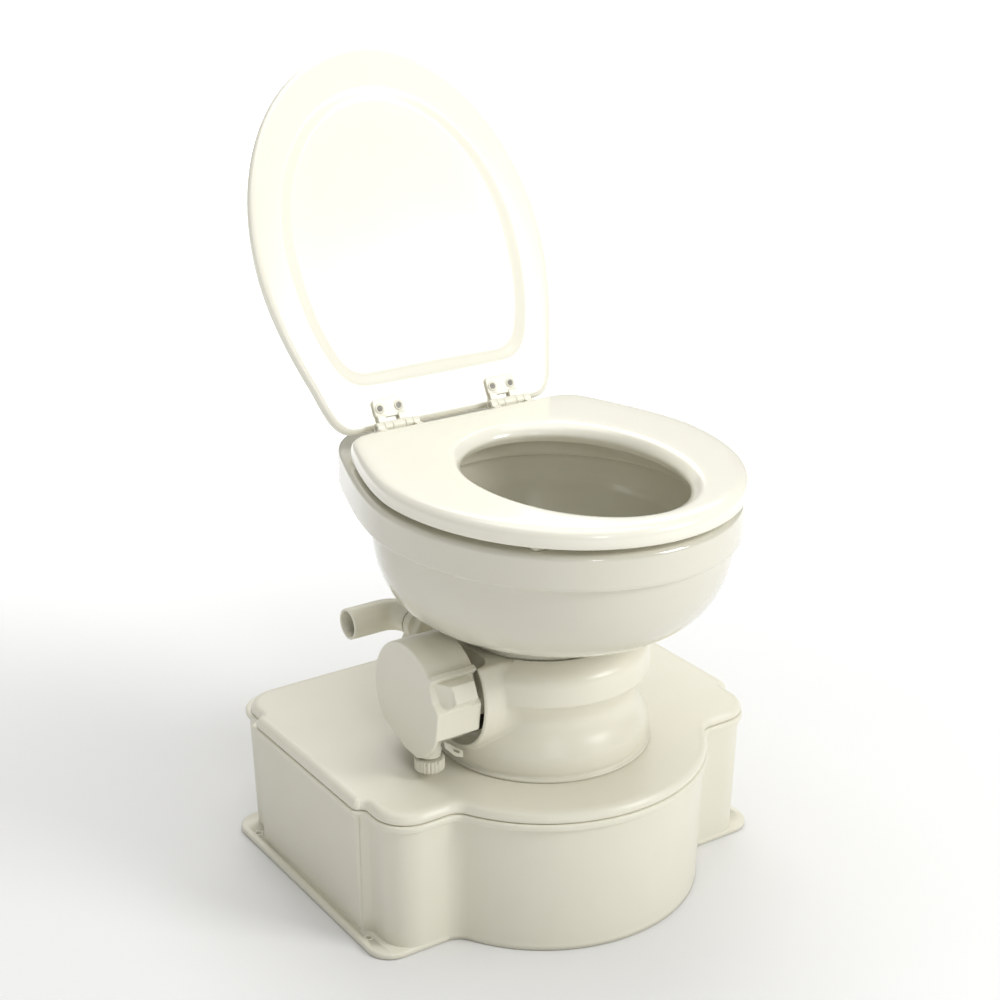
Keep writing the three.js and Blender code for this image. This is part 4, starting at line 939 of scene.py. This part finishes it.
def floor_material():
    """Pale studio floor with a painted contact shadow, greyer near the middle, and painted light far out, where
    the floor glows by emission up to white.
    """
    material = moulded("studio_floor", (0.93, 0.93, 0.92), 0.75, 0.0, 3.0, 0.01, 0.004)
    nodes, links = material.node_tree.nodes, material.node_tree.links
    place = nodes.new("ShaderNodeTexCoord")
    reach = nodes.new("ShaderNodeVectorMath")
    reach.operation = "LENGTH"
    links.new(place.outputs["Object"], reach.inputs[0])
    # painted shadow: the floor's colour turns greyer within about a metre of the middle, where the object stands
    painted_shadow_fade = nodes.new("ShaderNodeMapRange")
    painted_shadow_fade.interpolation_type = "SMOOTHSTEP"
    painted_shadow_fade.inputs["From Min"].default_value = 0.25
    painted_shadow_fade.inputs["From Max"].default_value = 1.1
    links.new(reach.outputs["Value"], painted_shadow_fade.inputs["Value"])
    painted_shadow_tone = nodes.new("ShaderNodeValToRGB")
    painted_shadow_tone.color_ramp.elements[0].color = (0.80, 0.80, 0.79, 1)
    painted_shadow_tone.color_ramp.elements[1].color = (0.95, 0.95, 0.94, 1)
    links.new(painted_shadow_fade.outputs["Result"], painted_shadow_tone.inputs["Fac"])
    links.new(painted_shadow_tone.outputs["Color"], nodes["Principled BSDF"].inputs["Base Color"])
    # painted light: the floor itself glows by emission, more strongly with distance from the middle, so it shows
    # white far away
    painted_glow = nodes.new("ShaderNodeMapRange")
    painted_glow.interpolation_type = "SMOOTHSTEP"
    painted_glow.inputs["From Min"].default_value = 0.6
    painted_glow.inputs["From Max"].default_value = 3.5
    links.new(reach.outputs["Value"], painted_glow.inputs["Value"])
    nodes["Principled BSDF"].inputs["Emission Color"].default_value = (1, 1, 1, 1)
    links.new(painted_glow.outputs["Result"], nodes["Principled BSDF"].inputs["Emission Strength"])
    return material


def stage():
    scene = bpy.context.scene
    mesh = bpy.data.meshes.new("floor")
    reach = 12.0
    mesh.from_pydata([(-reach, -reach, 0), (reach, -reach, 0), (reach, reach, 0), (-reach, reach, 0)], [],
                     [(0, 1, 2, 3)])
    floor = bpy.data.objects.new("floor", mesh)
    scene.collection.objects.link(floor)
    mesh.materials.append(floor_material())
    floor.location.z = -0.0006
    world = bpy.data.worlds.new("studio")
    scene.world = world
    world.use_nodes = True
    world.node_tree.nodes["Background"].inputs["Color"].default_value = (1, 1, 1, 1)
    world.node_tree.nodes["Background"].inputs["Strength"].default_value = 0.30
    area_light("top", (0.0, 0.0, 2.9), (0, 0, 0.2), (2.4, 2.4), 44)
    area_light("key", (1.5, -2.3, 1.9), (0, 0, 0.3), (1.0, 1.0), 44)
    area_light("backdrop", (1.6, 3.0, 2.6), (1.6, 2.8, 0), (3.0, 3.0), 60)
    area_light("window", (-0.9, -2.3, 1.5), (0, 0, 0.35), (0.35, 0.6), 5)
    scene.view_settings.view_transform = "Standard"
    camera = bpy.data.objects.new("camera", bpy.data.cameras.new("camera"))
    scene.collection.objects.link(camera)
    camera.data.sensor_width = 36.0
    camera.data.lens = 67.65
    camera.location = (-1.0144, -1.4369, 1.0920)
    camera.rotation_euler = (math.radians(69.04), 0, math.radians(-33.77))
    scene.camera = camera


tank_pieces()
drop_tube_piece()
pedestal_pieces()
bowl_piece()
seat_piece()
lid_piece()
pedal_piece()
ball_piece()
knob_piece()
valve_pieces()
discharge_pieces()
hinge_pieces()
keep_cad_nodes()
stage()
